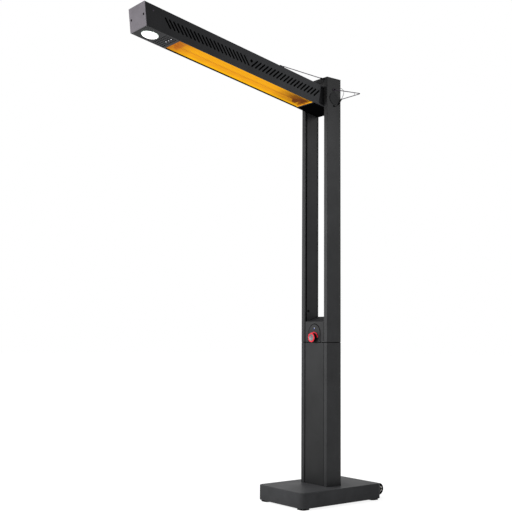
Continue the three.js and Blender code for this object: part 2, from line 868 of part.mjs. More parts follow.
function makeHousing() {
  const x = halfArmWidth;
  const z = halfArmHeight;
  const outer = roundedRect(-x, x, -z, z, armEdgeRadius);
  const inner = new THREE.Path();
  const ix = x - armWall;
  const iz = z - armWall;
  inner.moveTo(-ix, -iz);
  inner.lineTo(-ix, iz);
  inner.lineTo(ix, iz);
  inner.lineTo(ix, -iz);
  outer.holes.push(inner);
  const tube = prism(outer, "xz", -armLength - 1, armTail, 2);

  const floor = [-z - 2, -z + armWall + 1];
  const tools = [
    beyondEnd(endCapDepth),
    block(-glowHalfWidth, glowHalfWidth, -glowEnd, -glowStart, ...floor),
    block(-ventHalfWidth, ventHalfWidth, -ventEnd, -ventStart, ...floor),
    rod(ledRadius + gap, Z, ...floor, 32).translate(0, -ledStation, 0),
    block(-x - 2, x + 2, -sideEnd, armTail + 2, -z + sideEdge, z - sideEdge),
  ];
  const frontRow = [armLength - slotsFromEnd, slotMiddle + slotMiddleBreak, frontSlotReach];
  for (const station of slotStations(...frontRow)) {
    tools.push(sideSlot(station, frontSlotReach));
  }
  const rearRow = [slotMiddle - slotMiddleBreak, sideEnd + slotRearStrip, rearSlotReach];
  for (const station of slotStations(...rearRow)) {
    tools.push(sideSlot(station, -rearSlotReach));
  }
  const screwHole = rod(sideHole, X, -x - 2, x + 2, 10);
  tools.push(screwHole.clone().translate(0, -slotMiddle, middleHoleRise));
  tools.push(screwHole.translate(0, endHoleFromEnd - armLength, endHoleRise));
  add(arm, "arm_housing", cut(tube, ...tools), charcoal);
}

function makeArmEnd() {
  const section = roundedRect(-halfArmWidth, halfArmWidth, -halfArmHeight, halfArmHeight,
    armEdgeRadius);
  const slab = (front, back) => {
    const bar = prism(section, "xz", -armLength - 1, -armLength + 80, 2);
    return common(cut(bar, beyondEnd(front)), beyondEnd(back));
  };
  add(arm, "arm_end_cap", slab(endPlateThickness + gap, endCapDepth - gap), black);
  add(arm, "arm_end_plate", slab(0, endPlateThickness), endGrey);
}

function makeArmUnderside() {
  const under = -halfArmHeight;
  const inside = under + armWall + gap;
  const lens = [
    [0, under - ledProud],
    [ledRadius * 0.7, under - ledProud * 0.93],
    [ledRadius * 0.93, under - ledProud * 0.6],
    [ledRadius, under - ledProud * 0.25],
    [ledRadius, inside],
    [0, inside],
  ];
  add(arm, "led_lens", turned(lens, Z, 24).translate(0, -ledStation, 0), white);
  const lampFoot = inside + gap;
  const lamp = rod(ledRadius + ledFlange, Z, lampFoot, lampFoot + ledBodyHeight, 24);
  add(arm, "led_body", lamp.translate(0, -ledStation, 0), steel);

  const ventX = ventHalfWidth - gap;
  const vent = new THREE.Shape();
  const ventFront = -ventEnd + gap;
  const ventRear = -ventStart - gap;
  vent.setFromPoints(polygon([
    [-ventX, ventFront],
    [ventX, ventFront],
    [ventX, ventRear],
    [-ventX, ventRear],
  ]).getPoints());
  const rows = Math.floor((ventLength - ventHole - 2) / ventPitch);
  const columns = Math.floor((2 * ventX - ventHole - 4) / ventPitch);
  for (let row = 0; row <= rows; row++) {
    for (let column = 0; column <= columns; column++) {
      const x = (column - columns / 2) * ventPitch;
      const y = (ventFront + ventRear) / 2 + (row - rows / 2) * ventPitch;
      const hole = new THREE.Path();
      hole.moveTo(x + ventHole / 2, y);
      hole.lineTo(x, y - ventHole / 2);
      hole.lineTo(x - ventHole / 2, y);
      hole.lineTo(x, y + ventHole / 2);
      vent.holes.push(hole);
    }
  }
  add(arm, "vent_plate", prism(vent, "xy", under, under + armWall), black);
}

/** The grille: bars across the opening between two rails, with a band at each end. */
function makeGrille(outer, [front, rear], [low, face, top]) {
  const inner = glowHalfWidth;
  const count = Math.round((glowLength + grilleBar) / grillePitch);
  const pitch = (glowLength + grilleBar) / count;
  const edges = [];
  for (let i = 0; i < count; i++) {
    edges.push(-glowEnd + i * pitch, -glowEnd + (i + 1) * pitch - grilleBar);
  }
  const last = edges.length - 1;
  const across = (y, z, x = inner) => [at(-x, y, z), at(x, y, z)];
  const strips = [];

  for (let i = 1; i < last; i += 2) {
    const [y0, y1] = [edges[i], edges[i + 1]];
    strips.push([across(y0, top), across(y1, top), Z]);
    strips.push([across(y0, face), across(y1, face), Z.clone().negate()]);
    strips.push([across(y0, face), across(y0, top), Y.clone().negate()]);
    strips.push([across(y1, face), across(y1, top), Y]);
  }

  // Each rail in runs of some bars, so that no facet is much longer than the rail is wide
  const run = 22;
  for (const side of sides) {
    const out = X.clone().multiplyScalar(side.sign);
    const into = out.clone().negate();
    const along = (x, ys, z) => ys.map((y) => at(side.sign * x, y, z));
    for (let i = 0; i < last; i += run) {
      const ys = edges.slice(i, i + run + 1);
      const ends = [ys[0], ys[ys.length - 1]];
      strips.push([along(inner, ys, top), along(outer, ends, top), Z]);
      strips.push([along(outer, ends, top), along(outer, ends, low), out]);
      strips.push([along(outer, ends, low), along(inner, ends, low), Z.clone().negate()]);
      strips.push([along(inner, ends, low), along(inner, ys, face), into]);
    }
    for (let i = 0; i < last; i += 2) {
      const ys = [edges[i], edges[i + 1]];
      strips.push([along(inner, ys, face), along(inner, ys, top), into]);
    }
    for (const ys of [[front, edges[0]], [edges[last], rear]]) {
      strips.push([along(outer, ys, low), along(outer, ys, top), out]);
    }
  }

  for (const [end, edge, out] of [[front, edges[0], -1], [rear, edges[last], 1]]) {
    const facing = Y.clone().multiplyScalar(out);
    const corners = (z) => [-outer, -inner, inner, outer].map((x) => at(x, edge, z));
    strips.push([across(end, top, outer), corners(top), Z]);
    strips.push([across(end, low, outer), corners(low), Z.clone().negate()]);
    strips.push([across(end, low, outer), across(end, top, outer), facing]);
    strips.push([across(edge, low), across(edge, face), facing.clone().negate()]);
    strips.push([across(edge, face), across(edge, top), facing.clone().negate()]);
  }
  return skin(strips);
}

function makeHeatingParts() {
  const floor = -halfArmHeight + armWall + gap;
  const grilleFace = -halfArmHeight + grilleRecess;
  const grilleTop = grilleFace + grilleBar;
  const railOuter = glowHalfWidth + grilleLip;
  const front = -glowEnd - grilleLip;
  const rear = -glowStart + grilleLip;
  const grille = makeGrille(railOuter, [front, rear], [floor, grilleFace, grilleTop]);
  add(arm, "front_grille", grille, black);

  // A pair of troughs with a ridge between them
  const crownX = tubeSpacing / 2;
  const troughFoot = grilleTop + gap;
  const height = (x) => {
    const away = Math.abs(x);
    if (away < crownX) {
      return -troughTop - (troughRidge - troughTop) * ((crownX - away) / crownX) ** 2;
    }
    const share = (away - crownX) / (railOuter - crownX);
    return -troughTop - (-troughTop - troughFoot) * share ** 2;
  };
  const steps = 24;
  const lower = [];
  for (let i = 0; i <= steps; i++) {
    const x = -railOuter + (i * 2 * railOuter) / steps;
    lower.push([x, height(x)]);
  }
  const upper = lower.map(([x, z]) => [x, z + reflectorThickness]).reverse();
  const reflector = prism(polygon([...lower, ...upper]), "xz", front, rear);
  add(arm, "reflector", reflector, glow);

  const tubeFront = -glowEnd + tubeMargin;
  const tubeRear = -glowStart - tubeMargin;
  const holders = [
    { word: "front", y0: tubeFront - gap, y1: tubeFront - gap + holderLength },
    { word: "rear", y0: tubeRear + gap - holderLength, y1: tubeRear + gap },
  ];
  const bores = [];
  for (const side of sides) {
    const x = side.sign * crownX;
    const tube = rod(tubeRadius, Y, tubeFront, tubeRear, 16).translate(x, 0, -tubeDrop);
    add(arm, `heating_tube_${side.word}`, tube, glow);
    bores.push(rod(tubeRadius + gap, Y, tubeFront - 99, tubeRear + 99, 16)
      .translate(x, 0, -tubeDrop));
  }
  for (const holder of holders) {
    const half = crownX + tubeRadius + holderWall;
    const top = -tubeDrop + tubeRadius + 3;
    const bar = block(-half, half, holder.y0, holder.y1, troughFoot, top);
    const clearance = prism(
      polygon([...lower.map(([x, z]) => [x, z - gap]), [railOuter, 60], [-railOuter, 60]]),
      "xz", holder.y0 - 1, holder.y1 + 1);
    add(arm, `tube_holder_${holder.word}`, cut(bar, clearance, ...bores), ceramic);
  }
}

function makeHingeCassette() {
  const x = halfArmWidth - cassetteInset;
  const z = halfArmHeight - armWall - gap;
  const front = -sideEnd + gap;
  const shell = cut(
    block(-x, x, front, armTail, -z, z),
    block(-x + cassetteWall, x - cassetteWall, front - 1, armTail - cassetteWall,
      -z + cassetteWall, z - cassetteWall),
    rod(shaftRadius + gap, X, -x - 1, x + 1, 16),
  );
  add(arm, "hinge_cassette", shell, black);
  const shaftHalf = halfWidth - gap;
  add(arm, "hinge_shaft", rod(shaftRadius, X, -shaftHalf, shaftHalf, 16), steel);
}

/** A wire stay hinged on the arm's top: its sleeves rest against the front crossbar. */
function makeStay() {
  const pivotZ = halfArmHeight + stayRise;
  const lugHalf = stayX - 3 * stayRadius;
  const bridge = block(-lugHalf, lugHalf, -stayStation - stayLugLength / 2,
    -stayStation + stayLugLength / 2, halfArmHeight + gap, halfArmHeight + gap + 1.5);
  const ears = sides.map((side) => {
    const inner = lugHalf - stayLugWidth;
    const [x0, x1] = side.sign > 0 ? [inner, lugHalf] : [-lugHalf, -inner];
    const y = stayLugLength / 2;
    return block(x0, x1, -stayStation - y, -stayStation + y, halfArmHeight + gap,
      pivotZ + stayRadius + 2.5);
  });
  const bore = rod(stayRadius + gap, X, -lugHalf - 1, lugHalf + 1, 12);
  bore.translate(0, -stayStation, pivotZ);
  add(arm, "stay_lug", cut(join(bridge, ...ears), bore), black);

  // The wire's end, worked out in the column's frame and turned into the arm's
  const touch = at(0, -halfDepth - gap, columnHeight - stayDrop - hingeHeight);
  touch.applyAxisAngle(X, degrees(armTilt));
  const pivot = at(0, -stayStation, pivotZ);
  const along = touch.clone().sub(pivot);
  const length = along.length();
  along.normalize();
  const wireEnd = pivot.clone().addScaledVector(along, length - sleeveLength / 3);
  const corners = [
    at(-stayX, wireEnd.y, wireEnd.z),
    at(-stayX, pivot.y, pivot.z),
    at(stayX, pivot.y, pivot.z),
    at(stayX, wireEnd.y, wireEnd.z),
  ];
  const sleeve = [
    [0, length - sleeveLength],
    [sleeveRadius - 1, length - sleeveLength],
    [sleeveRadius, length - sleeveLength + 1],
    [sleeveRadius, length - 1 - gap],
    [sleeveRadius - 1, length - gap],
    [0, length - gap],
  ];
  const sleeves = sides.map((side) => {
    const cover = turned(sleeve, along, 12);
    return cover.translate(side.sign * stayX, pivot.y, pivot.z);
  });
  add(arm, "stay_bail", join(wire(corners, stayRadius, 2 * stayRadius), ...sleeves), wireGrey);
}

// ---------------------------------------------------------------- rear wires
/** The wire bail behind the column, hinged on the two upper side screws. */
function makeRearBail() {
  const pivotZ = hingeHeight + pivotScrewRise;
  const x = halfWidth + 2 * gap + bailRadius;
  const slope = Math.tan(degrees(bailSlope));
  const on = (px, y) => at(px, y, pivotZ + y * slope);
  const frame = wire([on(-x, eyeRadius), on(-x, bailReach), on(x, bailReach), on(x, eyeRadius)],
    bailRadius, bailCorner);
  const pieces = [];
  for (const side of sides) {
    const eye = new THREE.TorusGeometry(eyeRadius, bailRadius, 6, 12).rotateY(Math.PI / 2);
    pieces.push(eye.translate(side.sign * x, 0, pivotZ));
    const brace = wire([
      on(side.sign * x, bailReach - bailBraceReach),
      on(side.sign * (x - bailBraceReach), bailReach),
    ], bailBraceRadius, 1, 5);
    pieces.push(brace);
  }
  add(heater, "rear_bail", join(frame, ...pieces), wireGrey);
}

/** The lock screw's tether: a thin cable from the leg's rear face round to the side face. */
function makeTether() {
  const side = halfWidth + gap + tetherSleeveRadius;
  const anchorX = halfWidth - 8;
  const run = [
    at(anchorX, halfDepth + gap, hingeHeight + 68),
    at(anchorX + 1, halfDepth + 15, hingeHeight + 66),
    at(anchorX + 3, halfDepth + 28, hingeHeight + 56),
    at(anchorX + 5, halfDepth + 24, hingeHeight + 36),
    at(side, halfDepth + 9, hingeHeight + 16),
    at(side, halfDepth - 20, hingeHeight - 30),
    at(side, halfDepth - 36, hingeHeight - lockScrewDrop),
    at(side, screwHeadRadius + gap, hingeHeight - lockScrewDrop),
  ];
  const sleeve = wire([
    at(side, halfDepth + 2, hingeHeight + 5),
    at(side, halfDepth - 20, hingeHeight - 30),
  ], tetherSleeveRadius, 1);
  add(heater, "screw_tether", join(wire(run, tetherRadius, 9, 5), sleeve), black);
}

makeBase();
makeWheels();
makePedestal();
makeColumn();
makeSideScrews();
makeControls();
makeHousing();
makeArmEnd();
makeArmUnderside();
makeHeatingParts();
makeHingeCassette();
makeStay();
makeRearBail();
makeTether();

// The origin is the middle of the whole heater's bounding box, on the floor.
const bounds = new THREE.Box3().setFromObject(heater, true);
const middle = bounds.getCenter(new THREE.Vector3());
heater.position.set(-middle.x, -middle.y, 0);

export default heater;
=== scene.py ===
"""Looks of the infrared patio heater: camera, light, materials and the finely made pieces."""
import json
import math

import bmesh
import bpy
from mathutils import Matrix, Vector


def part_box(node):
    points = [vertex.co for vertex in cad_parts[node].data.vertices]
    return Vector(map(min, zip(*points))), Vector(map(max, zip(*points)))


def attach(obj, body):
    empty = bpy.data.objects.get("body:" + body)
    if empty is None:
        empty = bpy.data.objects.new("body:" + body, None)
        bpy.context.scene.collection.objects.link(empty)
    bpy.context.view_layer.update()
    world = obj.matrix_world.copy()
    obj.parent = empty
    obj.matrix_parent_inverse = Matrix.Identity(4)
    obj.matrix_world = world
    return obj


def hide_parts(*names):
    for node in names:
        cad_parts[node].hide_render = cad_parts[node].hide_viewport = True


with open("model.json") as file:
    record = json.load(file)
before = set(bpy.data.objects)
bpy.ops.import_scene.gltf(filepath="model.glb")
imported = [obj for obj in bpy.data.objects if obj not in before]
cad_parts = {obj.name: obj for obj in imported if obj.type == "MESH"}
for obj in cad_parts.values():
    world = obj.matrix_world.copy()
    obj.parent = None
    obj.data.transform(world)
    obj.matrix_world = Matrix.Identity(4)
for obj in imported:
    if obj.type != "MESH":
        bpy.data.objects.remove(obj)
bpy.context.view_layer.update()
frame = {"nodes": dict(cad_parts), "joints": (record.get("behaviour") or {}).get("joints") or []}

nodes = frame["nodes"]
joints = {joint["name"]: joint for joint in frame["joints"]}
MM = 0.001

# ------------------------------------------------------------------ places
HINGE = Vector(joints["arm_fold"]["pos_m"])
COLUMN_Y = HINGE.y
DIAL = Vector(joints["knob_turn"]["pos_m"])
STAY_PIVOT = Vector(joints["stay_swing"]["pos_m"])
BAIL_PIVOT = Vector(joints["bail_swing"]["pos_m"])
ARM_TILT = math.radians(9.8)
ARM = Matrix.Translation(HINGE) @ Matrix.Rotation(-ARM_TILT, 4, "X")
DOWN = Matrix.Rotation(math.pi, 4, "X")
SIDES = (("left", -1), ("right", 1))

# In millimetres: half the sizes of the column and the arm, and places along the arm from its hinge
HALF_COLUMN_WIDTH = 100
HALF_COLUMN_DEPTH = 50
SLOT_WALL = 77.5  # inner faces of the legs
HALF_ARM_HEIGHT = 55
GLOW_FROM = 112
GLOW_TO = 964
SLOT_MIDDLE = 546  # between the two groups of slots
VENT_MIDDLE = 1009
LAMP_MIDDLE = 1090
TUBE_MARGIN = 38  # ends of the heated opening to the ends of the tubes
SLOT_PITCH = 23.5
SLOT_RISE = 43.0
SLOT_HALF_WIDTH = 3.5
SLOT_ROWS = ((1046.0, 21, 42.0), (524.5, 19, -35.0))  # first middle, count, length along the arm
VENT_PITCH = 13.5
END_SLANT = math.atan2(32, 2 * HALF_ARM_HEIGHT)  # lean of the end plate

# Radii of the round wires in millimetres
BAIL_WIRE = 2.2
BRACE_WIRE = 1.4
STAY_WIRE = 2.15
TETHER = 1.2
TETHER_SLEEVE = 3.3

# ------------------------------------------------------------------ camera
# Found from the straight edges of the column, arm and base in the photograph.
FOCAL_LENGTH = 879.26  # in pixels of a picture 512 wide
SENSOR_WIDTH = 36.0
camera_data = bpy.data.cameras.new("camera")
camera = bpy.data.objects.new("camera", camera_data)
bpy.context.scene.collection.objects.link(camera)
bpy.context.scene.camera = camera
camera_data.sensor_width = SENSOR_WIDTH
camera_data.sensor_fit = "HORIZONTAL"
camera_data.lens = FOCAL_LENGTH / 512 * SENSOR_WIDTH
camera_data.clip_start = 0.05
camera_data.clip_end = 60.0


def aim_camera():
    heading = math.radians(51.77)
    pitch = math.radians(5.44)
    roll = math.radians(0.48)
    level = Vector((-math.sin(heading), math.cos(heading), 0))
    forward = level * math.cos(pitch) + Vector((0, 0, math.sin(pitch)))
    right = Vector((math.cos(heading), math.sin(heading), 0))
    up = right.cross(forward)
    turned_right = right * math.cos(roll) + up * math.sin(roll)
    turned_up = up * math.cos(roll) - right * math.sin(roll)
    basis = Matrix((turned_right, turned_up, -forward)).transposed()
    place = Vector((3.44993, COLUMN_Y - 3.15925, 0.82594))
    camera.matrix_world = Matrix.Translation(place) @ basis.to_4x4()


aim_camera()
bpy.context.scene.view_settings.view_transform = "Standard"


# ------------------------------------------------------------------ node helpers
class Nodes:
    """A small builder for a material's or the world's nodes."""

    def __init__(self, tree):
        self.tree = tree
        tree.nodes.clear()

    def add(self, kind, inputs=None, **settings):
        node = self.tree.nodes.new(kind)
        for key, value in settings.items():
            setattr(node, key, value)
        for key, value in (inputs or {}).items():
            self.feed(node.inputs[key], value)
        return node

    def feed(self, socket, value):
        if isinstance(value, bpy.types.NodeSocket):
            self.tree.links.new(value, socket)
        elif isinstance(value, bpy.types.Node):
            self.tree.links.new(value.outputs[0], socket)
        elif isinstance(value, tuple) and len(value) == 3 and socket.type == "RGBA":
            socket.default_value = (*value, 1.0)
        else:
            socket.default_value = value

    def math(self, operation, *values):
        node = self.add("ShaderNodeMath", operation=operation)
        for socket, value in zip(node.inputs, values):
            self.feed(socket, value)
        return node.outputs[0]

    def ramp(self, factor, *stops):
        """A colour ramp through (position, colour) stops."""
        node = self.add("ShaderNodeValToRGB", {"Fac": factor})
        elements = node.color_ramp.elements
        while len(elements) > len(stops):
            elements.remove(elements[-1])
        while len(elements) < len(stops):
            elements.new(1.0)
        for element, (position, colour) in zip(elements, stops):
            element.position = position
            element.color = (*colour, 1.0)
        return node.outputs["Color"]

    def remap(self, value, low, high, to_low, to_high):
        ends = {"From Min": low, "From Max": high, "To Min": to_low, "To Max": to_high}
        return self.add("ShaderNodeMapRange", {"Value": value, **ends}).outputs["Result"]

    def noise(self, scale, detail=2.0, stretch=(1, 1, 1), roughness=0.5):
        """Noise in the object's own coordinates, in metres."""
        place = self.add("ShaderNodeTexCoord").outputs["Object"]
        mapped = self.add("ShaderNodeMapping", {"Vector": place, "Scale": stretch})
        inputs = {"Vector": mapped, "Scale": scale, "Detail": detail, "Roughness": roughness}
        return self.add("ShaderNodeTexNoise", inputs).outputs["Fac"]

    def coordinate(self, axis, matrix=None):
        """One of the object's coordinates in metres, in the frame of a matrix."""
        place = self.add("ShaderNodeTexCoord").outputs["Object"]
        if matrix is not None:
            inverse = matrix.inverted()
            inputs = {
                "Vector": place,
                "Location": inverse.to_translation(),
                "Rotation": inverse.to_euler(),
            }
            place = self.add("ShaderNodeMapping", inputs).outputs[0]
        return self.add("ShaderNodeSeparateXYZ", {"Vector": place}).outputs[axis]


def material(name):
    made = bpy.data.materials.new(name)
    made.use_nodes = True
    return made, Nodes(made.node_tree)


def surface(n, shader):
    n.add("ShaderNodeOutputMaterial", {"Surface": shader})


def shade_of(colour, factor):
    return tuple(min(1.0, channel * factor) for channel in colour)


# ------------------------------------------------------------------ materials
def powder_coat(name, colour, roughness=0.5, edge=0.0012, specular=0.3, painted_shading=None):
    """Powder coat: a fine orange-peel skin, faint mottling and dust, softly rounded edges.

    Light and shade can be painted into the coat along an axis: give the axis, a matrix, two places
    along the axis and the coat's lightness at each.
    """
    made, n = material(name)
    mottling = n.noise(9.0, detail=5.0, roughness=0.6)
    speckle = n.noise(900.0, detail=2.0)
    tone = n.math("ADD", n.math("MULTIPLY", mottling, 0.7), n.math("MULTIPLY", speckle, 0.3))
    base = n.ramp(tone, (0.32, shade_of(colour, 0.78)), (0.68, shade_of(colour, 1.22)))
    # Painted light and shade: the coat's lightness changes along the given axis.
    if painted_shading:
        axis, matrix, *ends = painted_shading
        value = n.remap(n.coordinate(axis, matrix), *ends)
        base = n.add("ShaderNodeHueSaturation", {"Color": base, "Value": value})
    smear = n.noise(3.5, detail=4.0, stretch=(1, 1, 0.35))
    dull = n.remap(smear, 0.35, 0.65, roughness - 0.05, roughness + 0.07)
    rounded = n.add("ShaderNodeBevel", {"Radius": edge}, samples=6)
    peel = n.noise(650.0, detail=3.0)
    bump_inputs = {"Strength": 0.16, "Distance": 0.0003, "Height": peel, "Normal": rounded}
    bump = n.add("ShaderNodeBump", bump_inputs)
    inputs = {"Base Color": base, "Roughness": dull, "Normal": bump, "Specular IOR Level": specular}
    surface(n, n.add("ShaderNodeBsdfPrincipled", inputs))
    return made


def moulded(name, colour, roughness=0.55, sparkle=0.2, specular=0.3):
    """Moulded plastic or rubber with a fine spark-eroded texture."""
    made, n = material(name)
    cells = n.noise(1400.0, detail=2.0)
    flow = n.noise(30.0, detail=3.0)
    base = n.ramp(flow, (0.3, shade_of(colour, 0.85)), (0.7, shade_of(colour, 1.15)))
    dull = n.remap(cells, 0.3, 0.7, roughness - 0.06, roughness + 0.08)
    rounded = n.add("ShaderNodeBevel", {"Radius": 0.0006}, samples=4)
    bump_inputs = {"Strength": sparkle, "Distance": 0.0002, "Height": cells, "Normal": rounded}
    bump = n.add("ShaderNodeBump", bump_inputs)
    inputs = {"Base Color": base, "Roughness": dull, "Normal": bump, "Specular IOR Level": specular}
    surface(n, n.add("ShaderNodeBsdfPrincipled", inputs))
    return made


def metal(name, colour, roughness=0.32, stretch=(1, 1, 1), metallic=1.0):
    """Bare metal with brushing along the axis whose stretch is small."""
    made, n = material(name)
    lines = n.noise(700.0, detail=3.0, stretch=stretch)
    stain = n.noise(14.0, detail=4.0)
    base = n.ramp(stain, (0.3, shade_of(colour, 0.82)), (0.7, shade_of(colour, 1.12)))
    dull = n.remap(lines, 0.3, 0.7, roughness - 0.07, roughness + 0.1)
    bump_inputs = {"Strength": 0.15, "Distance": 0.0002, "Height": lines}
    bump = n.add("ShaderNodeBump", bump_inputs)
    inputs = {"Base Color": base, "Roughness": dull, "Normal": bump, "Metallic": metallic}
    surface(n, n.add("ShaderNodeBsdfPrincipled", inputs))
    return made


GLOW_FRONT = -GLOW_TO * MM  # the heated opening's ends in the arm's frame, tip end first
GLOW_REAR = -GLOW_FROM * MM


def glowing(name, across, streaks, frame_glows=False):
    """A surface that emits light in bands of colour across the arm, duller towards its ends. On the
    heating tubes this is their own glow; on the reflector, grille and holders it is painted light,
    the tubes' light on them and its reflections, with painted shade towards the ends.
    """
    made, n = material(name)
    along = n.coordinate("Y", ARM)
    across_arm = n.coordinate("X")
    wander = n.math("MULTIPLY", n.math("SUBTRACT", n.noise(24.0, detail=3.0), 0.5), 0.05)
    wandering = n.math("ADD", along, wander)
    # Dimmer, browner colour towards the tip end and the hinge end, less at the sides: painted shade
    # on all but the tubes.
    tip = n.remap(wandering, GLOW_FRONT - 0.02, GLOW_FRONT + 0.13, 0.0, 1.0)
    tail = n.remap(wandering, GLOW_REAR - 0.06, GLOW_REAR - 0.2, 0.0, 1.0)
    off_middle = n.math("ABSOLUTE", across_arm)
    tail = n.math("MAXIMUM", tail, n.remap(off_middle, 0.035, 0.06, 0.0, 0.85))
    if frame_glows:
        rail = n.remap(along, GLOW_REAR - 0.012, GLOW_REAR - 0.006, 0.0, 1.0)
        tail = n.math("MAXIMUM", tail, rail)
    colour = n.ramp(n.remap(across_arm, -0.07, 0.07, 0.0, 1.0), *across)
    for dim_colour, share in ((DULL_ORANGE, tip), (BROWN, tail)):
        mixed = n.add("ShaderNodeMix", data_type="RGBA")
        n.feed(mixed.inputs[0], share)
        n.feed(mixed.inputs[6], dim_colour)
        n.feed(mixed.inputs[7], colour)
        colour = mixed.outputs[2]
    lines = n.noise(230.0, detail=3.0, stretch=(1, 0.02, 1))
    power = n.remap(lines, 0.35, 0.65, 1 - streaks, 1 + streaks)
    inputs = {
        "Base Color": (0.02, 0.008, 0.001),
        "Roughness": 0.6,
        "Specular IOR Level": 0.05,
        "Emission Color": colour,
        "Emission Strength": power,
    }
    surface(n, n.add("ShaderNodeBsdfPrincipled", inputs))
    return made


def lamp_material():
    made, n = material("lamp_white")
    speck = n.noise(320.0, detail=2.0)
    power = n.remap(speck, 0.3, 0.7, 1.25, 1.45)
    inputs = {
        "Base Color": (0.9, 0.92, 0.88),
        "Roughness": 0.35,
        "Emission Color": (0.95, 1.0, 0.95),
        "Emission Strength": power,
    }
    surface(n, n.add("ShaderNodeBsdfPrincipled", inputs))
    return made


# Painted shade: the column's coat darkens towards its top, round the hinge, for the arm's shadow
# there.
COLUMN = powder_coat("column_coat", (0.0190, 0.0193, 0.0202), roughness=0.42, edge=0.003,
                     specular=0.15, painted_shading=("Z", None, 1.88, 2.12, 1.0, 0.38))
# Painted shade: the front panels are a darker copy of the column's coat, for the shade of their
# recess, and darken further towards the floor, where less light falls.
PANEL = powder_coat("panel_coat", (0.0142, 0.0145, 0.0151), roughness=0.45, specular=0.15,
                    painted_shading=("Z", None, 0.25, 0.85, 0.68, 1.0))
BASE = powder_coat("base_coat", (0.030, 0.0304, 0.0318), roughness=0.46, edge=0.003, specular=0.04)
# Painted light: the arm's coat grows lighter towards the hinge, where more light falls on it.
ARM_COAT = powder_coat("arm_coat", (0.010, 0.0102, 0.011), roughness=0.45, edge=0.001, specular=0.1,
                       painted_shading=("Y", ARM, -1.1, -0.3, 0.8, 2.1))
COVER = powder_coat("cover_coat", (0.007, 0.0072, 0.0078), roughness=0.5, specular=0.12)
VENT = powder_coat("vent_coat", (0.012, 0.0123, 0.0132), roughness=0.5, specular=0.12)
# Painted shade: a dark strip material, for shade along recessed edges.
SHADE = moulded("painted_shade_strip", (0.003, 0.003, 0.0033), roughness=0.7, specular=0.04)
SHELF = powder_coat("shelf_coat", (0.012, 0.012, 0.013), roughness=0.7, specular=0.05)
END_PLATE = metal("end_plate_anodised", (0.086, 0.077, 0.089), roughness=0.42, metallic=0.45)
BLACK = moulded("black_plastic", (0.005, 0.005, 0.0055), roughness=0.5, specular=0.15)
# Unlit black: painted shade where it lines slots, holes, grooves, recesses and the seam; also the
# own black of the small screws, plugs and hub caps.
VOID = moulded("inner_shade", (0.0012, 0.0012, 0.0013), roughness=0.95, sparkle=0.05, specular=0.0)
KNOB = moulded("knob_plastic", (0.004, 0.004, 0.0045), roughness=0.4, specular=0.12)
DISH = moulded("knob_dish", (0.10, 0.104, 0.112), roughness=0.35)
RED = moulded("red_plastic", (0.50, 0.012, 0.026), roughness=0.35, sparkle=0.05, specular=0.2)
RUBBER = moulded("rubber", (0.003, 0.003, 0.0033), roughness=0.85, sparkle=0.4, specular=0.02)
SCREW = moulded("screw_black", (0.003, 0.003, 0.0035), roughness=0.6, specular=0.06)
STEEL = metal("steel", (0.42, 0.42, 0.43), roughness=0.32)
BRIGHT = metal("rivet_bright", (0.6, 0.6, 0.64), roughness=0.3, metallic=0.6)
PLATE_STEEL = metal("plate_steel", (0.2, 0.2, 0.21), roughness=0.5, stretch=(0.05, 1, 1))
WIRE = metal("wire", (0.048, 0.040, 0.052), roughness=0.38, stretch=(1, 0.05, 1))
SPOKE = moulded("spoke_plastic", (0.003, 0.003, 0.0033), roughness=0.7, specular=0.04)
# Painted light: this pale disc behind the wheel's spokes stands in for the bright background seen
# through the gaps between them.
PAINTED_LIGHT_DISC = moulded("painted_light_disc", (0.62, 0.60, 0.56), roughness=0.45, sparkle=0.05)
CABLE = moulded("cable_jacket", (0.006, 0.006, 0.0065), roughness=0.5, specular=0.1)
# Painted light: the lamp's ring is pale green for the halo of light round the lens.
LAMP_HALO_RIM = moulded("lamp_halo_rim", (0.32, 0.38, 0.34), roughness=0.3, sparkle=0.05)
LAMP = lamp_material()
YELLOW = (1.0, 0.50, 0.007)
ORANGE = (0.83, 0.33, 0.009)
AMBER = (0.50, 0.15, 0.008)
DULL_ORANGE = (0.37, 0.088, 0.011)
BROWN = (0.12, 0.03, 0.004)
# Painted light: the reflector, the grille and the tube holders emit the tubes' light on them and
# its reflections, painted as bands of colour; only the tubes glow by themselves.
LIT_REFLECTOR = glowing("reflector_gold", [(0.0, YELLOW), (0.1, ORANGE), (1.0, ORANGE)], 0.12)
TUBE = glowing("tube_glow", [(0.0, ORANGE), (0.4, YELLOW), (1.0, YELLOW)], 0.04)
HOLDER = glowing("holder_painted_glow", [(0.0, AMBER), (1.0, AMBER)], 0.05)
GRILLE = glowing("grille_gold", [(0.06, YELLOW), (0.18, ORANGE), (0.38, ORANGE), (0.46, AMBER),
                                 (0.54, ORANGE), (0.68, ORANGE), (0.8, YELLOW)], 0.05, True)
INDICATOR_BLUE = moulded("indicator_blue", (0.10, 0.14, 0.55), roughness=0.25, sparkle=0.05)
INDICATOR_WHITE = moulded("indicator_white", (0.75, 0.78, 0.85), roughness=0.25, sparkle=0.05)

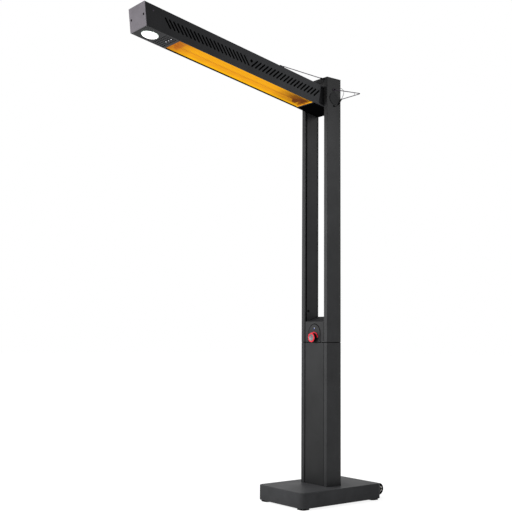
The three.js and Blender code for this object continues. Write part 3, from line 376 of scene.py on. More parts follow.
MATERIAL_OF = {
    "base_cover": BASE,
    "base_plate": PLATE_STEEL,
    "ballast_plate": PLATE_STEEL,
    "wheel_axle": SCREW,
    # The seam collar is unlit black: painted shade for the shadow in the seam round the column.
    "seam_collar": VOID,
    "slot_shelf": SHELF,
    "front_crossbar": BLACK,
    "catch_pad": RUBBER,
    "control_panel": PANEL,
    "pedestal_front_panel": PANEL,
    "rotary_switch": BLACK,
    "arm_housing": ARM_COAT,
    "arm_end_cap": ARM_COAT,
    "arm_end_plate": END_PLATE,
    "vent_plate": VENT,
    "led_body": PLATE_STEEL,
    "reflector": LIT_REFLECTOR,
    "front_grille": GRILLE,
    "tube_holder_front": HOLDER,
    "tube_holder_rear": HOLDER,
    "hinge_cassette": BLACK,
    "hinge_shaft": STEEL,
    "hinge_bush_left": STEEL,
    "hinge_bush_right": STEEL,
    "stay_lug": BLACK,
    "leg_cap_left": BLACK,
    "leg_cap_right": BLACK,
}
for name, node in nodes.items():
    node.data.materials.clear()
    node.data.materials.append(MATERIAL_OF.get(name, COLUMN))


# ------------------------------------------------------------------ mesh helpers
def place_piece(name, data, skin, body, replaced=()):
    """Links a finished piece, gives it its material and hangs it on its body."""
    piece = bpy.data.objects.new(name, data)
    bpy.context.scene.collection.objects.link(piece)
    data.materials.append(skin)
    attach(piece, body)
    if replaced:
        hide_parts(*replaced)


def finish_mesh(shape, name, matrix=None, sharp=35):
    """Turns a bmesh into a mesh, smooth but for edges sharper than an angle."""
    bmesh.ops.remove_doubles(shape, verts=shape.verts, dist=1e-6)
    bmesh.ops.recalc_face_normals(shape, faces=shape.faces)
    if matrix is not None:
        bmesh.ops.transform(shape, matrix=matrix, verts=shape.verts)
    limit = math.radians(sharp)
    for edge in shape.edges:
        edge.smooth = len(edge.link_faces) == 2 and edge.calc_face_angle(0.0) < limit
    for face in shape.faces:
        face.smooth = True
    data = bpy.data.meshes.new(name)
    shape.to_mesh(data)
    shape.free()
    return data


def lathe(shape, profile, segments=64, closed=False):
    """Adds a turned form about Z to a bmesh, from (radius, height) points in millimetres."""
    rings = []
    for radius, height in profile:
        if radius < 1e-6:
            rings.append([shape.verts.new((0, 0, height * MM))])
            continue
        ring = []
        for i in range(segments):
            angle = 2 * math.pi * i / segments
            x = radius * MM * math.cos(angle)
            y = radius * MM * math.sin(angle)
            ring.append(shape.verts.new((x, y, height * MM)))
        rings.append(ring)
    pairs = list(zip(rings, rings[1:]))
    if closed:
        pairs.append((rings[-1], rings[0]))
    for low, high in pairs:
        for i in range(segments):
            j = (i + 1) % segments
            corners = ((low, i), (low, j), (high, j), (high, i))
            unique = list(dict.fromkeys(ring[k % len(ring)] for ring, k in corners))
            if len(unique) > 2:
                shape.faces.new(unique)


def rounded(points, radius, steps=4):
    """Rounds the corners of an open profile of (radius, height) points."""
    out = [points[0]]
    for before, corner, after in zip(points, points[1:], points[2:]):
        b, c, a = Vector(before), Vector(corner), Vector(after)
        reach = min(radius, (b - c).length / 2.1, (a - c).length / 2.1)
        start = c + (b - c).normalized() * reach
        end = c + (a - c).normalized() * reach
        for i in range(steps + 1):
            t = i / steps
            out.append(tuple(start * (1 - t) ** 2 + c * 2 * t * (1 - t) + end * t ** 2))
    out.append(points[-1])
    return out


def turned_piece(name, profile, matrix, skin, body, replaced=(), segments=64, radius=0.5):
    """A turned piece whose profile's corners are rounded to a radius in millimetres."""
    shape = bmesh.new()
    lathe(shape, rounded(profile, radius), segments)
    place_piece(name, finish_mesh(shape, name, matrix), skin, body, replaced)


def prism(shape, outline, low, high):
    """Adds a prism along Z to a bmesh, from a counter-clockwise outline in millimetres."""
    bottom = [shape.verts.new((x * MM, y * MM, low * MM)) for x, y in outline]
    top = [shape.verts.new((x * MM, y * MM, high * MM)) for x, y in outline]
    shape.faces.new(list(reversed(bottom)))
    shape.faces.new(top)
    count = len(outline)
    for i in range(count):
        j = (i + 1) % count
        shape.faces.new((bottom[i], bottom[j], top[j], top[i]))


def bevelled(shape, width, segments=3):
    """Bevels the edges sharper than 40 degrees to a width in millimetres."""
    edges = [e for e in shape.edges if e.calc_face_angle(0.0) > math.radians(40)]
    bmesh.ops.bevel(shape, geom=edges, offset=width * MM, segments=segments, profile=0.5,
                    affect="EDGES", clamp_overlap=True)


def rounded_rectangle(half_x, half_y, radius, steps=10):
    outline = []
    corners = ((1, 1, 0), (-1, 1, 90), (-1, -1, 180), (1, -1, 270))
    for sign_x, sign_y, start in corners:
        for i in range(steps + 1):
            angle = math.radians(start + 90 * i / steps)
            x = sign_x * (half_x - radius) + radius * math.cos(angle)
            y = sign_y * (half_y - radius) + radius * math.sin(angle)
            outline.append((x, y))
    return outline


def circle(radius, segments):
    step = 2 * math.pi / segments
    return [(radius * math.cos(i * step), radius * math.sin(i * step)) for i in range(segments)]


def arc(radius, degrees):
    return [(radius * math.cos(math.radians(a)), radius * math.sin(math.radians(a)))
            for a in degrees]


def bent_path(corners, radius, steps=8):
    """Points of a bent wire with rounded corners, in metres."""
    points = [Vector(corners[0])]
    for before, corner, after in zip(corners, corners[1:], corners[2:]):
        b, c, a = Vector(before), Vector(corner), Vector(after)
        reach = min(radius, (b - c).length / 2.2, (a - c).length / 2.2)
        start = c + (b - c).normalized() * reach
        end = c + (a - c).normalized() * reach
        for i in range(steps + 1):
            t = i / steps
            points.append(start * (1 - t) ** 2 + c * 2 * t * (1 - t) + end * t ** 2)
    points.append(Vector(corners[-1]))
    return points


def wire_data(name, runs, radius):
    """A curve of round wire through one or more runs of points."""
    data = bpy.data.curves.new(name, "CURVE")
    data.dimensions = "3D"
    data.bevel_depth = radius
    data.bevel_resolution = 5
    data.use_fill_caps = True
    for points, closed in runs:
        spline = data.splines.new("POLY")
        spline.points.add(len(points) - 1)
        for target, point in zip(spline.points, points):
            target.co = (*point, 1.0)
        spline.use_cyclic_u = closed
    return data


ALONG_X = Matrix.Rotation(math.radians(90), 4, "Y")  # a form about Z, turned to lie along +X
ALONG_MINUS_Y = Matrix.Rotation(math.radians(90), 4, "X")  # the same, facing -Y


def side_matrix(sign, y, z):
    """Frame of a part on a side face of the column: local Z points out of the face."""
    turn = ALONG_X if sign > 0 else Matrix.Rotation(math.radians(-90), 4, "Y")
    return Matrix.Translation((0, y, z)) @ turn


# ------------------------------------------------------------------ base
def make_base():
    low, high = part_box("base_cover")
    half_x = (high.x - low.x) / 2 / MM
    half_y = (high.y - low.y) / 2 / MM
    height = (high.z - low.z) / MM
    shape = bmesh.new()
    corner = 26
    edge = 5
    wall = 2
    rings = [(1.5, 0.0), (0.4, 0.5), (0.0, 1.6)]
    for i in range(9):
        angle = math.radians(90 * i / 8)
        rings.append((edge * (1 - math.cos(angle)), height - edge * (1 - math.sin(angle))))
    loops = []
    for inset, z in rings:
        outline = rounded_rectangle(half_x - inset, half_y - inset, corner - inset, 12)
        loops.append([shape.verts.new((x * MM, y * MM, z * MM)) for x, y in outline])
    for lower, upper in zip(loops, loops[1:]):
        for i in range(len(lower)):
            j = (i + 1) % len(lower)
            shape.faces.new((lower[i], lower[j], upper[j], upper[i]))
    shape.faces.new(loops[-1])
    inner = rounded_rectangle(half_x - wall, half_y - wall, corner - wall, 12)
    rim = [shape.verts.new((x * MM, y * MM, 0)) for x, y in inner]
    roof = [shape.verts.new((x * MM, y * MM, (height - wall) * MM)) for x, y in inner]
    for i in range(len(rim)):
        j = (i + 1) % len(rim)
        shape.faces.new((loops[0][j], loops[0][i], rim[i], rim[j]))
        shape.faces.new((rim[j], rim[i], roof[i], roof[j]))
    shape.faces.new(list(reversed(roof)))
    middle = Matrix.Translation(((low.x + high.x) / 2, (low.y + high.y) / 2, low.z))
    data = finish_mesh(shape, "base_shell", middle, sharp=50)
    place_piece("base_shell", data, BASE, "stand", ["base_cover"])

    for end in ("front", "rear"):
        for side, _ in SIDES:
            node = f"foot_{end}_{side}"
            low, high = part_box(node)
            half = (high.x - low.x) / 2 / MM
            shape = bmesh.new()
            prism(shape, rounded_rectangle(half, half, half * 0.62, 8), 0, (high.z - low.z) / MM)
            bevelled(shape, 1.2)
            centre = (low + high) / 2
            seat = Matrix.Translation((centre.x, centre.y, low.z))
            data = finish_mesh(shape, node + "_pad", seat)
            place_piece(node + "_pad", data, RUBBER, "stand", [node])


# ------------------------------------------------------------------ wheels
def make_wheel(side, sign):
    body = f"wheel_{side}"
    low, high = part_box(f"wheel_tyre_{side}")
    centre = (low + high) / 2
    matrix = Matrix.Translation(centre) @ side_matrix(sign, 0, 0)
    half = (high.x - low.x) / 2 / MM
    outer = (high.z - low.z) / 2 / MM
    seat = 20.9  # where the tyre sits on the rim
    rim_in, rim_out = 18.4, 20.4
    bore, hub_radius = 5.4, 11.4
    spokes = 5

    tread = [(seat, -half), (outer - 4.5, -half), (outer, -half + 4)]
    for groove in (-3.2, 3.2):
        tread += [
            (outer, groove - 1.0),
            (outer - 1.2, groove - 0.6),
            (outer - 1.2, groove + 0.6),
            (outer, groove + 1.0),
        ]
    tread += [(outer, half - 4), (outer - 4.5, half), (seat, half), (seat, -half)]
    turned_piece(f"tyre_{side}", tread, matrix, RUBBER, body,
                 [f"wheel_tyre_{side}"], segments=96, radius=0.9)

    shape = bmesh.new()
    face = half - 1
    band = [(rim_in, -face), (rim_out, -face), (rim_out, face - 0.6), (20.0, face - 0.2),
            (18.8, face - 0.2), (rim_in, face - 0.8)]
    lathe(shape, band, 96, closed=True)
    hub = [(bore, -half), (hub_radius, -half), (hub_radius, half - 2.2), (10.6, half - 0.8),
           (bore, half - 0.8)]
    lathe(shape, hub, 64, closed=True)
    for i in range(spokes):
        spoke = bmesh.new()
        outline = [(-2.9, 10.8), (2.9, 10.8), (2.2, 14.5), (2.4, 18.8), (-2.4, 18.8), (-2.2, 14.5)]
        prism(spoke, outline, half - 6.0, half - 2.2)
        bevelled(spoke, 0.7, segments=2)
        bmesh.ops.rotate(spoke, verts=spoke.verts, cent=(0, 0, 0),
                         matrix=Matrix.Rotation(2 * math.pi * i / spokes, 3, "Z"))
        part = bpy.data.meshes.new("spoke")
        spoke.to_mesh(part)
        spoke.free()
        shape.from_mesh(part)
        bpy.data.meshes.remove(part)
    data = finish_mesh(shape, f"rim_{side}", matrix)
    place_piece(f"rim_{side}", data, SPOKE, body, [f"wheel_rim_{side}"])

    trim = [(18.5, face - 0.15), (20.2, face - 0.15), (20.2, face + 0.25), (19.8, face + 0.6),
            (18.9, face + 0.6), (18.5, face + 0.25), (18.5, face - 0.15)]
    turned_piece(f"rim_trim_{side}", trim, matrix, SPOKE, body, segments=96,
                 radius=0.2)
    # Painted light: a pale disc behind the spokes, for the bright background seen through their
    # gaps.
    disc = [(11.5, half - 4.2), (18.3, half - 4.2), (18.3, half - 3.4), (11.5, half - 3.4),
            (11.5, half - 4.2)]
    turned_piece(f"painted_light_disc_{side}", disc, matrix, PAINTED_LIGHT_DISC, body, segments=96,
                 radius=0.1)
    cap = [(0, half - 0.4), (6.4, half - 0.5), (11.2, half - 1.2), (12.2, half - 2.2),
           (0, half - 2.2)]
    turned_piece(f"hub_cap_{side}", cap, matrix, VOID, body, segments=48)


# ------------------------------------------------------------------ screws
def socket_head(name, matrix, skin, body, radius, height):
    """A button-head screw with a hexagon recess; local Z points out of the surface."""
    shape = bmesh.new()
    segments = 36
    flat = math.pi / 3  # the angle that each side of the hexagon takes
    key = radius * 0.46
    profile = rounded([(radius, 0), (radius, height * 0.3), (radius * 0.72, height * 0.85),
                       (key * 1.25, height)], radius * 0.2)
    rings = []
    for r, h in profile:
        rings.append([shape.verts.new((x * MM, y * MM, h * MM)) for x, y in circle(r, segments)])
    key_rim = []
    key_floor = []
    for i, (x, y) in enumerate(circle(1.0, segments)):
        angle = 2 * math.pi * i / segments
        wedge = (angle % flat) - math.pi / 6
        r = key * math.cos(math.pi / 6) / math.cos(wedge)
        key_rim.append(shape.verts.new((x * r * MM, y * r * MM, height * MM)))
        key_floor.append(shape.verts.new((x * r * MM, y * r * MM, height * 0.3 * MM)))
    rings += [key_rim, key_floor]
    for low, high in zip(rings, rings[1:]):
        for i in range(segments):
            j = (i + 1) % segments
            shape.faces.new((low[i], low[j], high[j], high[i]))
    shape.faces.new(key_floor)
    shape.faces.new(list(reversed(rings[0])))
    place_piece(name, finish_mesh(shape, name, matrix), skin, body)


# ------------------------------------------------------------------ dial
def make_dial():
    front = Matrix.Translation((DIAL.x, 0, DIAL.z)) @ ALONG_MINUS_Y

    def level(y):
        """Depth along the dial's axis of a place in the part's frame, in millimetres."""
        return -y / MM

    low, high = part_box("dial_bezel")
    back, face = level(high.y), level(low.y)
    outer = (high.x - low.x) / 2 / MM
    bore = 6
    bezel = [(bore, back), (outer, back), (outer, face), (outer - 3, face), (bore, face),
             (bore, back)]
    turned_piece("bezel", bezel, front, BLACK, "stand", ["dial_bezel"])

    low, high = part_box("dial_arc")
    back, face = level(high.y), level(low.y)
    outer = (high.x - low.x) / 2 / MM
    shape = bmesh.new()
    prism(shape, arc(outer, range(0, 181, 4)) + arc(outer - 4, range(180, -1, -4)), back, face)
    bevelled(shape, 0.7)
    data = finish_mesh(shape, "power_arc", front)
    place_piece("power_arc", data, RED, "stand", ["dial_arc"])

    ring_low, ring_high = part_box("knob_ring")
    low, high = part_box("knob_body")
    barrel_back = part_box("dial_bezel")[0].y - 0.0003
    face = level(ring_low.y)
    seat = level(ring_high.y) - 0.3
    skirt = level(barrel_back)
    outer = (ring_high.x - ring_low.x) / 2 / MM
    wide = (high.x - low.x) / 2 / MM
    inner = outer - 7.5
    stem = 3.5
    flutes = 24
    flute_depth = 0.018
    body = bmesh.new()
    lathe(body, rounded([(inner - 0.3, face - 1.2), (inner - 0.3, seat), (wide - 1.2, seat),
                         (wide - 0.4, seat - 1.5), (wide, skirt + 1.2), (wide - 1, skirt),
                         (stem, skirt), (stem, level(high.y)), (0, level(high.y))], 0.5), 96)
    grips = [v for v in body.verts
             if math.hypot(v.co.x, v.co.y) > (wide - 1.3) * MM and v.co.z > (skirt + 1) * MM]
    for v in grips:
        angle = math.atan2(v.co.y, v.co.x)
        shrink = 1 - flute_depth * (0.5 + 0.5 * math.cos(flutes * angle))
        v.co.x *= shrink
        v.co.y *= shrink
    data = finish_mesh(body, "knob_barrel", front)
    place_piece("knob_barrel", data, KNOB, "knob", ["knob_body"])
    dish = [(inner - 0.35, face - 1.2), (inner - 0.9, face - 1.3), (inner * 0.6, face - 3.0),
            (inner * 0.25, face - 3.7), (0, face - 3.8)]
    turned_piece("knob_face", dish, front, DISH, "knob", radius=2.0)
    hoop = [(inner, seat + 0.3), (inner, face - 1.4), (inner + 2.2, face - 0.15),
            (outer - 2.4, face), (outer - 0.3, face - 1.6), (outer, face - 3.0),
            (outer - 1.2, seat + 0.3), (inner, seat + 0.3)]
    turned_piece("knob_hoop", hoop, front, RED, "knob", ["knob_ring"], segments=96,
                 radius=0.9)

    # The pointer stands at eleven o'clock on the dished face
    shape = bmesh.new()
    start, tip = inner * 0.30, inner * 0.9
    prism(shape, [(-1.1, start), (1.1, start), (0.8, tip), (-0.8, tip)], face - 3.4, face - 1.0)
    bevelled(shape, 0.4, segments=2)
    turn = front @ Matrix.Rotation(math.radians(35), 4, "Z")
    data = finish_mesh(shape, "knob_pointer", turn)
    place_piece("knob_pointer", data, RED, "knob")


def make_indicator():
    low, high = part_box("indicator_lens")
    centre = (low + high) / 2
    matrix = Matrix.Translation((centre.x, low.y, centre.z)) @ ALONG_MINUS_Y
    radius = (high.x - low.x) / 2 / MM
    depth = (high.y - low.y) / MM
    lens = [(0, -0.4), (radius * 0.55, -0.5), (radius * 0.85, -1.0), (radius, -1.8),
            (radius, -depth), (0, -depth)]
    turned_piece("indicator_body", lens, matrix, KNOB, "stand",
                 ["indicator_lens"])
    lean = matrix @ Matrix.Rotation(math.radians(-24), 4, "Z")
    halves = (("indicator_upper", INDICATOR_WHITE, 1.2, 4.1),
              ("indicator_lower", INDICATOR_BLUE, -4.1, 1.2))
    for name, skin, bottom, top in halves:
        shape = bmesh.new()
        prism(shape, [(-1.4, bottom), (1.4, bottom), (1.4, top), (-1.4, top)], -1.6, -0.05)
        bevelled(shape, 0.25, segments=2)
        data = finish_mesh(shape, name, lean)
        place_piece(name, data, skin, "stand")


# ------------------------------------------------------------------ hinge and column sides
def ends_across(low, high):
    """How far a side piece's outer and inner ends are from the middle plane, in millimetres."""
    into, out = sorted((abs(low.x), abs(high.x)))
    return out / MM, into / MM


def make_side_hardware():
    for side, sign in SIDES:
        low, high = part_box(f"hinge_disc_{side}")
        out, into = ends_across(low, high)
        radius = (high.z - low.z) / 2 / MM
        matrix = side_matrix(sign, HINGE.y, HINGE.z)
        profile = [(0, out - 0.5), (radius * 0.55, out - 0.5), (radius * 0.6, out),
                   (radius - 2.6, out), (radius, out - 1.6), (radius, into), (0, into)]
        turned_piece(f"hinge_cover_{side}", profile, matrix, COVER, "stand",
                     [f"hinge_disc_{side}"], segments=128, radius=0.8)
        for label, node in (("bail", "bail_pivot_screw"), ("lock", "lock_screw")):
            low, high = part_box(f"{node}_{side}")
            centre = (low + high) / 2
            out, into = ends_across(low, high)
            place = side_matrix(sign, centre.y, centre.z)
            head = out - 4
            shank = [(0, into), (3, into), (3, head - 0.02), (0, head - 0.02)]
            turned_piece(f"{label}_shank_{side}", shank, place, SCREW, "stand",
                         [f"{node}_{side}"], segments=24, radius=0.2)
            seat = place @ Matrix.Translation((0, 0, head * MM))
            socket_head(f"{label}_head_{side}", seat, SCREW, "stand", radius=5.4, height=4)


# ------------------------------------------------------------------ wires
def column_point(x, y, z):
    """A point in millimetres from the column's axis and the floor, in the part's frame."""
    return Vector((x * MM, COLUMN_Y + y * MM, z * MM))


def make_bail():
    """The rear wire bail with its two corner braces; it slopes up a little to the rear."""
    pivot = BAIL_PIVOT
    slope = math.tan(math.radians(4.3))
    side_x = HALF_COLUMN_WIDTH + 2.8
    eye_radius = 6.2
    reach = 197
    bend = 14
    brace = 46

    def on(x, y):
        return pivot + Vector((x, y, y * slope)) * MM

    corners = [on(-side_x, eye_radius), on(-side_x, reach), on(side_x, reach),
               on(side_x, eye_radius)]
    runs = [(bent_path(corners, bend * MM), False)]
    for sign in (-1, 1):
        eye = [pivot + Vector((sign * side_x, y, z)) * MM for y, z in circle(eye_radius, 32)]
        runs.append((eye, True))
    data = wire_data("bail_wire", runs, BAIL_WIRE * MM)
    place_piece("bail_wire", data, WIRE, "bail", ["rear_bail"])
    braces = []
    for sign in (-1, 1):
        ends = [on(sign * side_x, reach - brace), on(sign * (side_x - brace), reach)]
        braces.append((ends, False))
    data = wire_data("bail_braces", braces, BRACE_WIRE * MM)
    place_piece("bail_braces", data, WIRE, "bail")


def make_stay():
    """The front wire stay, which leans on the crossbar at rest."""
    crossbar_height = 2215
    touch = column_point(0, -HALF_COLUMN_DEPTH - 0.3, crossbar_height)
    along = touch - Vector((0, STAY_PIVOT.y, STAY_PIVOT.z))
    length = along.length
    along.normalize()

    def stay(x, reach):
        return Vector((x * MM, STAY_PIVOT.y, STAY_PIVOT.z)) + along * reach

    half = 66
    reach = length - 0.005
    path = bent_path([stay(-half, reach), stay(-half, 0), stay(half, 0), stay(half, reach)], 6 * MM)
    data = wire_data("stay_wire", [(path, False)], STAY_WIRE * MM)
    place_piece("stay_wire", data, WIRE, "stay", ["stay_bail"])
    turn = along.to_track_quat("Z", "Y").to_matrix().to_4x4()
    for side, sign in SIDES:
        seat = Matrix.Translation(stay(sign * half, 0)) @ turn
        end = length / MM - 0.3
        sleeve = [(2.05, end - 15.7), (3.6, end - 15.7), (4.5, end - 14.5), (4.5, end - 1),
                  (3.8, end), (0, end)]
        turned_piece(f"stay_sleeve_{side}", sleeve, seat, RUBBER, "stay",
                     segments=40)


def make_tether():
    """The lock screw's thin cable, from the right leg's rear face round to its side face."""
    anchor = HALF_COLUMN_WIDTH - 8
    side = HALF_COLUMN_WIDTH + 2.9
    run = [
        column_point(anchor, HALF_COLUMN_DEPTH + 0.3, 2178),
        column_point(anchor + 1, 65, 2176),
        column_point(anchor + 3, 78, 2166),
        column_point(anchor + 5, 74, 2146),
        column_point(side, 59, 2126),
        column_point(side, 30, 2080),
        column_point(side, 14, 2068),
        column_point(side, 5.8, 2068),
    ]
    path = bent_path(run, 12 * MM, steps=6)
    data = wire_data("tether_cable", [(path, False)], TETHER * MM)
    place_piece("tether_cable", data, CABLE, "stand", ["screw_tether"])
    sleeve = [column_point(side, 52, 2115), column_point(side, 30, 2080)]
    data = wire_data("tether_sleeve", [(sleeve, False)], TETHER_SLEEVE * MM)
    place_piece("tether_sleeve", data, RUBBER, "stand")


# ------------------------------------------------------------------ arm
def arm_point(across, station, height):
    """Frame at a place in the arm in millimetres, the station counted from the hinge to the tip."""
    return ARM @ Matrix.Translation((across * MM, -station * MM, height * MM))


def make_lamp():
    down = arm_point(0, LAMP_MIDDLE, -HALF_ARM_HEIGHT) @ DOWN
    radius = 38.6
    lens = [(0, 7.0), (18, 6.9), (30, 6.2), (36, 4.6), (38.3, 2.4), (radius, 1.6)]
    shape = bmesh.new()
    lathe(shape, rounded(lens, 4.0) + [(radius, -1.8), (0, -1.8)], 96)
    data = finish_mesh(shape, "lamp_lens", down, sharp=60)
    place_piece("lamp_lens", data, LAMP, "arm", ["led_lens"])
    # The ring's pale green is painted light: the halo of the lamp's light round its lens.
    ring = [(38.75, -0.2), (41.6, -0.2), (41.6, 0.9), (40.4, 2.0), (38.75, 2.4), (38.75, -0.2)]
    turned_piece("lamp_ring", ring, down, LAMP_HALO_RIM, "arm", segments=96, radius=0.3)


def make_tubes():
    front = -GLOW_TO + TUBE_MARGIN
    rear = -GLOW_FROM - TUBE_MARGIN
    profile = [(0, front), (4, front), (7.9, front + 6), (7.9, rear - 6), (4, rear), (0, rear)]
    for side, sign in SIDES:
        matrix = arm_point(sign * 33, 0, -26) @ Matrix.Rotation(math.radians(-90), 4, "X")
        turned_piece(f"quartz_tube_{side}", profile, matrix, TUBE, "arm",
                     [f"heating_tube_{side}"], segments=32, radius=3.0)


def make_arm_fasteners():
    """The two screws of the end plate and the one on each side of the end cap."""
    for side, sign in SIDES:
        # The end plate's screws stand on the slanted face, half-way up
        outward = Matrix.Rotation(math.radians(90) + END_SLANT, 4, "X")
        seat = arm_point(sign * 55, 1170, 0) @ outward
        socket_head(f"end_screw_{side}", seat, VOID, "arm", radius=5.6, height=1.8)
        slotted = ARM @ side_matrix(sign, -1.132, 0.028)
        shape = bmesh.new()
        dome = [(0, 71.5), (3.6, 71.5), (4.2, 72.2), (3.4, 73.0), (0, 73.2)]
        lathe(shape, rounded(dome, 0.4), 40)
        data = finish_mesh(shape, f"cap_screw_{side}", slotted)
        place_piece(f"cap_screw_{side}", data, WIRE, "arm")


def plate(name, low, high, skin, body, matrix):
    """A thin box between two corners in millimetres."""
    shape = bmesh.new()
    outline = [(low[0], low[1]), (high[0], low[1]), (high[0], high[1]), (low[0], high[1])]
    prism(shape, outline, low[2], high[2])
    place_piece(name, finish_mesh(shape, name, matrix), skin, body)


def make_arm_shade_and_frame():
    """Painted shade: unlit black sheets behind the openings of the arm, where its inside lies in
    shadow; also the frame inside the heated opening.
    """
    for side, sign in SIDES:
        near, far = sorted((sign * 69.3, sign * 69.9))
        plate(f"slot_painted_shade_{side}", (near, -1140, -40), (far, -80, 52), VOID, "arm",
              ARM)
        near, far = sorted((sign * 65.4, sign * 66.3))
        plate(f"opening_frame_{side}", (near, 0.2 - GLOW_TO, -54.9),
              (far, -0.2 - GLOW_FROM, -49.4), VOID, "arm", ARM)
    plate("vent_painted_shade", (-61, -1041, -52.4), (61, -977, -51.9), VOID, "arm", ARM)
    for i, across in enumerate((0, 24, 45)):
        seat = arm_point(across, 1000, -HALF_ARM_HEIGHT) @ DOWN
        dome = [(0, 1.5), (1.6, 1.2), (2.6, 0), (2.6, -1), (0, -1)]
        turned_piece(f"vent_rivet_{i}", dome, seat, BRIGHT, "arm", segments=24)


def make_panel_edge_shade():
    """Painted shade: dark strips down both edges of the recessed front panels, for the shade in the
    recess beside the legs' lips.
    """
    # The control panel's box starts at its raised arch, and its top edge slopes
    panels = (("control_panel", "upper_edge_shade", 1.2, 4), ("pedestal_front_panel", "lower_edge_shade", 0, 0))
    for node, name, relief, slope in panels:
        low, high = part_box(node)
        face = low.y / MM + relief
        top = high.z / MM - slope
        for side, sign in SIDES:
            width = 5 if side == "right" else 2.5
            near, far = sorted((sign * (high.x / MM - width), sign * high.x / MM))
            plate(f"{name}_{side}", (near, face - 0.25, low.z / MM), (far, face + 0.3, top), SHADE,
                  "stand", Matrix.Identity(4))


def make_slot_corner_shades():
    """Painted shade: unlit black strips on the inner faces of the upper legs, in the corner behind
    the front lips, where the recess lies in shadow.
    """
    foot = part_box("control_panel")[1].z / MM + 2
    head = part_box("front_crossbar")[0].z / MM
    front = COLUMN_Y / MM - HALF_COLUMN_DEPTH + 8.3
    for side, sign in SIDES:
        near, far = sorted((sign * (SLOT_WALL - 0.9), sign * (SLOT_WALL - 0.1)))
        plate(f"slot_corner_shade_{side}", (near, front, foot), (far, front + 9, head), VOID, "stand",
              Matrix.Identity(4))


def make_tail_shade_cover():
    """Black cover under the arm's tail, behind the heated opening, made unlit black: its own black
    deepened by painted shade for the shadow under the tail.
    """
    plate("tail_shade_cover", (-69.5, -106, -55.9), (69.5, 50, -55.05), VOID, "arm", ARM)


def make_side_plugs():
    """Black plugs in the arm's side walls between the two groups of slots."""
    for side, sign in SIDES:
        seat = ARM @ side_matrix(sign, -SLOT_MIDDLE * MM, 0.008)
        plug = [(0, 73.0), (6.4, 73.0), (8.2, 72.1), (8.2, 71.9), (2.8, 71.9), (2.8, 70.6),
                (0, 70.6)]
        turned_piece(f"side_plug_{side}", plug, seat, VOID, "arm", segments=32,
                     radius=0.3)


def raised_ring(shape, outer, inner, lift):
    """Adds a closed ring between two outlines of points in millimetres, raised by a vector."""
    loops = []
    for outline, raised in ((outer, False), (outer, True), (inner, True), (inner, False)):
        points = [point + lift if raised else point for point in outline]
        loops.append([shape.verts.new(point * MM) for point in points])
    for low, high in zip(loops, loops[1:] + loops[:1]):
        for i in range(len(low)):
            j = (i + 1) % len(low)
            shape.faces.new((low[i], low[j], high[j], high[i]))


def make_slot_shade_rings():
    """Painted shade: unlit black rings lining the slanted slots of the arm's sides and the holes of
    the vent, for the shade inside them.
    """
    for side, sign in SIDES:
        shape = bmesh.new()
        for first, count, along in SLOT_ROWS:
            tip = math.hypot(along, SLOT_RISE) / 2
            angle = -math.atan2(SLOT_RISE, along)
            for i in range(count):
                outlines = []
                for grow in (0.9, -0.4):
                    t, h = tip + grow, SLOT_HALF_WIDTH + grow
                    outline = []
                    for u, v in ((t, 0), (t - h, h), (h - t, h), (-t, 0), (h - t, -h), (t - h, -h)):
                        y = u * math.cos(angle) - v * math.sin(angle) - first + SLOT_PITCH * i
                        z = u * math.sin(angle) + v * math.cos(angle)
                        outline.append(Vector((sign * 70.5, y, z)))
                    outlines.append(outline)
                raised_ring(shape, *outlines, Vector((sign * 1.62, 0, 0)))
        data = finish_mesh(shape, f"slot_shade_ring_{side}", ARM)
        place_piece(f"slot_shade_ring_{side}", data, VOID, "arm")
    shape = bmesh.new()
    for row in range(-2, 3):
        for column in range(-4, 5):
            outlines = []
            for reach in (5.2, 3.2):
                corners = ((reach, 0), (0, -reach), (-reach, 0), (0, reach))
                outlines.append([
                    Vector((VENT_PITCH * column + x, VENT_PITCH * row - VENT_MIDDLE + y, -53.3))
                    for x, y in corners
                ])
            raised_ring(shape, *outlines, Vector((0, 0, -1.85)))
    data = finish_mesh(shape, "vent_shade_ring", ARM)
    place_piece("vent_shade_ring", data, VOID, "arm")


def make_reflector_ends():
    """End walls of the reflector, behind the tube holders, in the holders' emitting amber: painted
    light for the tubes' light on them.
    """
    for end, y in (("front", -GLOW_TO - 2.4), ("rear", 1.4 - GLOW_FROM)):
        plate(f"reflector_end_{end}", (-66, y, -46), (66, y + 0.8, 40), HOLDER, "arm",
              ARM)


def make_arch_groove():
    """Painted shade: an unlit black strip in the groove round the raised arch of the control panel,
    for the shadow in the groove.
    """
    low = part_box("control_panel")[0]
    seam = low.z / MM - 1.8
    half, spring, apex = 42, seam + 57, seam + 95

    def arch(outside):
        side = half + outside
        top = apex + outside
        points = [(-side, low.z / MM), (-side, spring)]
        for x0, x1, x2 in ((-side, -side * 0.86, 0), (0, side * 0.86, side)):
            z0, z1, z2 = (spring, top - 6, top) if x0 < 0 else (top, top - 6, spring)
            for i in range(1, 13):
                t = i / 12
                x = x0 * (1 - t) ** 2 + x1 * 2 * t * (1 - t) + x2 * t ** 2
                z = z0 * (1 - t) ** 2 + z1 * 2 * t * (1 - t) + z2 * t ** 2
                points.append((x, z))
        return points + [(side, low.z / MM)]

    outline = arch(3.6) + list(reversed(arch(0.05)))
    shape = bmesh.new()
    front = -(low.y / MM) - 0.7
    prism(shape, outline, front - 1.0, front)
    data = finish_mesh(shape, "arch_groove_shade", ALONG_MINUS_Y)
    place_piece("arch_groove_shade", data, VOID, "stand")


make_base()
for wheel_side, wheel_sign in SIDES:
    make_wheel(wheel_side, wheel_sign)
make_dial()
make_indicator()
make_side_hardware()
make_bail()
make_stay()
make_tether()
make_lamp()
make_tubes()
make_arm_fasteners()
make_arm_shade_and_frame()
make_arch_groove()
make_panel_edge_shade()
make_slot_corner_shades()
make_tail_shade_cover()
make_side_plugs()
make_slot_shade_rings()
make_reflector_ends()


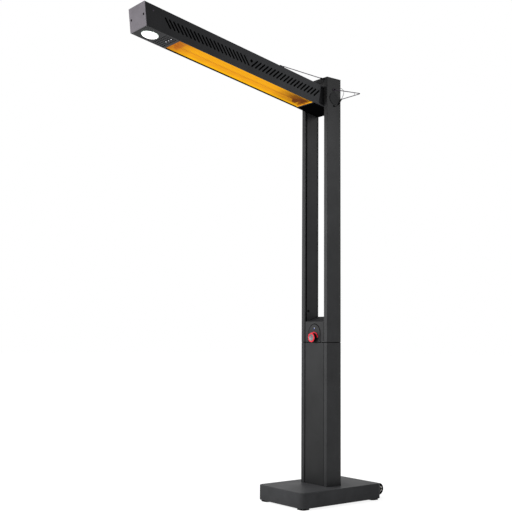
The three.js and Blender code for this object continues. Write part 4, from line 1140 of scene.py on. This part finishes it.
# ------------------------------------------------------------------ floor and light
def background_ray(n):
    """1 for rays that should meet the white background: seen, mirrored or through glass."""
    path = n.add("ShaderNodeLightPath").outputs
    mirrored = n.math("MAXIMUM", path["Is Glossy Ray"], path["Is Transmission Ray"])
    return n.math("MAXIMUM", path["Is Camera Ray"], mirrored)


def make_floor():
    shape = bmesh.new()
    bmesh.ops.create_grid(shape, x_segments=2, y_segments=2, size=40.0)
    data = bpy.data.meshes.new("floor")
    shape.to_mesh(data)
    shape.free()
    floor = bpy.data.objects.new("floor", data)
    bpy.context.scene.collection.objects.link(floor)
    skin, n = material("floor_white")
    matt = n.add("ShaderNodeBsdfDiffuse", {"Color": (0.9, 0.9, 0.9)})
    white = n.add("ShaderNodeEmission", {"Color": (1.0, 1.0, 1.0), "Strength": 1.12})
    share = n.math("MULTIPLY", background_ray(n), 0.75)
    surface(n, n.add("ShaderNodeMixShader", {0: share, 1: matt, 2: white}))
    data.materials.append(skin)


def make_world():
    world = bpy.data.worlds.new("studio")
    bpy.context.scene.world = world
    world.use_nodes = True
    n = Nodes(world.node_tree)
    fill = n.add("ShaderNodeBackground", {"Color": (0.96, 0.98, 1.0), "Strength": 0.25})
    shown = n.add("ShaderNodeBackground", {"Color": (1.0, 1.0, 1.0), "Strength": 1.0})
    mixed = n.add("ShaderNodeMixShader", {0: background_ray(n), 1: fill, 2: shown})
    n.add("ShaderNodeOutputWorld", {"Surface": mixed})


def area_light(name, place, target, size, power):
    data = bpy.data.lights.new(name, "AREA")
    data.shape = "RECTANGLE"
    data.size, data.size_y = size
    data.energy = power
    lamp = bpy.data.objects.new(name, data)
    bpy.context.scene.collection.objects.link(lamp)
    lamp.location = place
    lamp.visible_camera = False
    aim = Vector(target) - Vector(place)
    lamp.rotation_mode = "QUATERNION"
    lamp.rotation_quaternion = aim.to_track_quat("-Z", "Y")


make_floor()
make_world()
area_light("key", place=(-1.0, COLUMN_Y - 2.5, 1.5), target=(0, COLUMN_Y, 1.15),
           size=(1.2, 1.5), power=70)
area_light("side", place=(1.9, COLUMN_Y + 1.2, 2.4), target=(0, COLUMN_Y, 1.6),
           size=(1.2, 1.2), power=8)
area_light("edge", place=(1.5, COLUMN_Y - 1.4, 1.7), target=(0, COLUMN_Y, 1.6),
           size=(0.4, 0.9), power=19)
sun = bpy.data.lights.new("overhead", "SUN")
sun.energy = 2.2
sun.angle = math.radians(50)
overhead = bpy.data.objects.new("overhead", sun)
bpy.context.scene.collection.objects.link(overhead)
overhead.rotation_euler = (math.radians(12), math.radians(-14), 0)
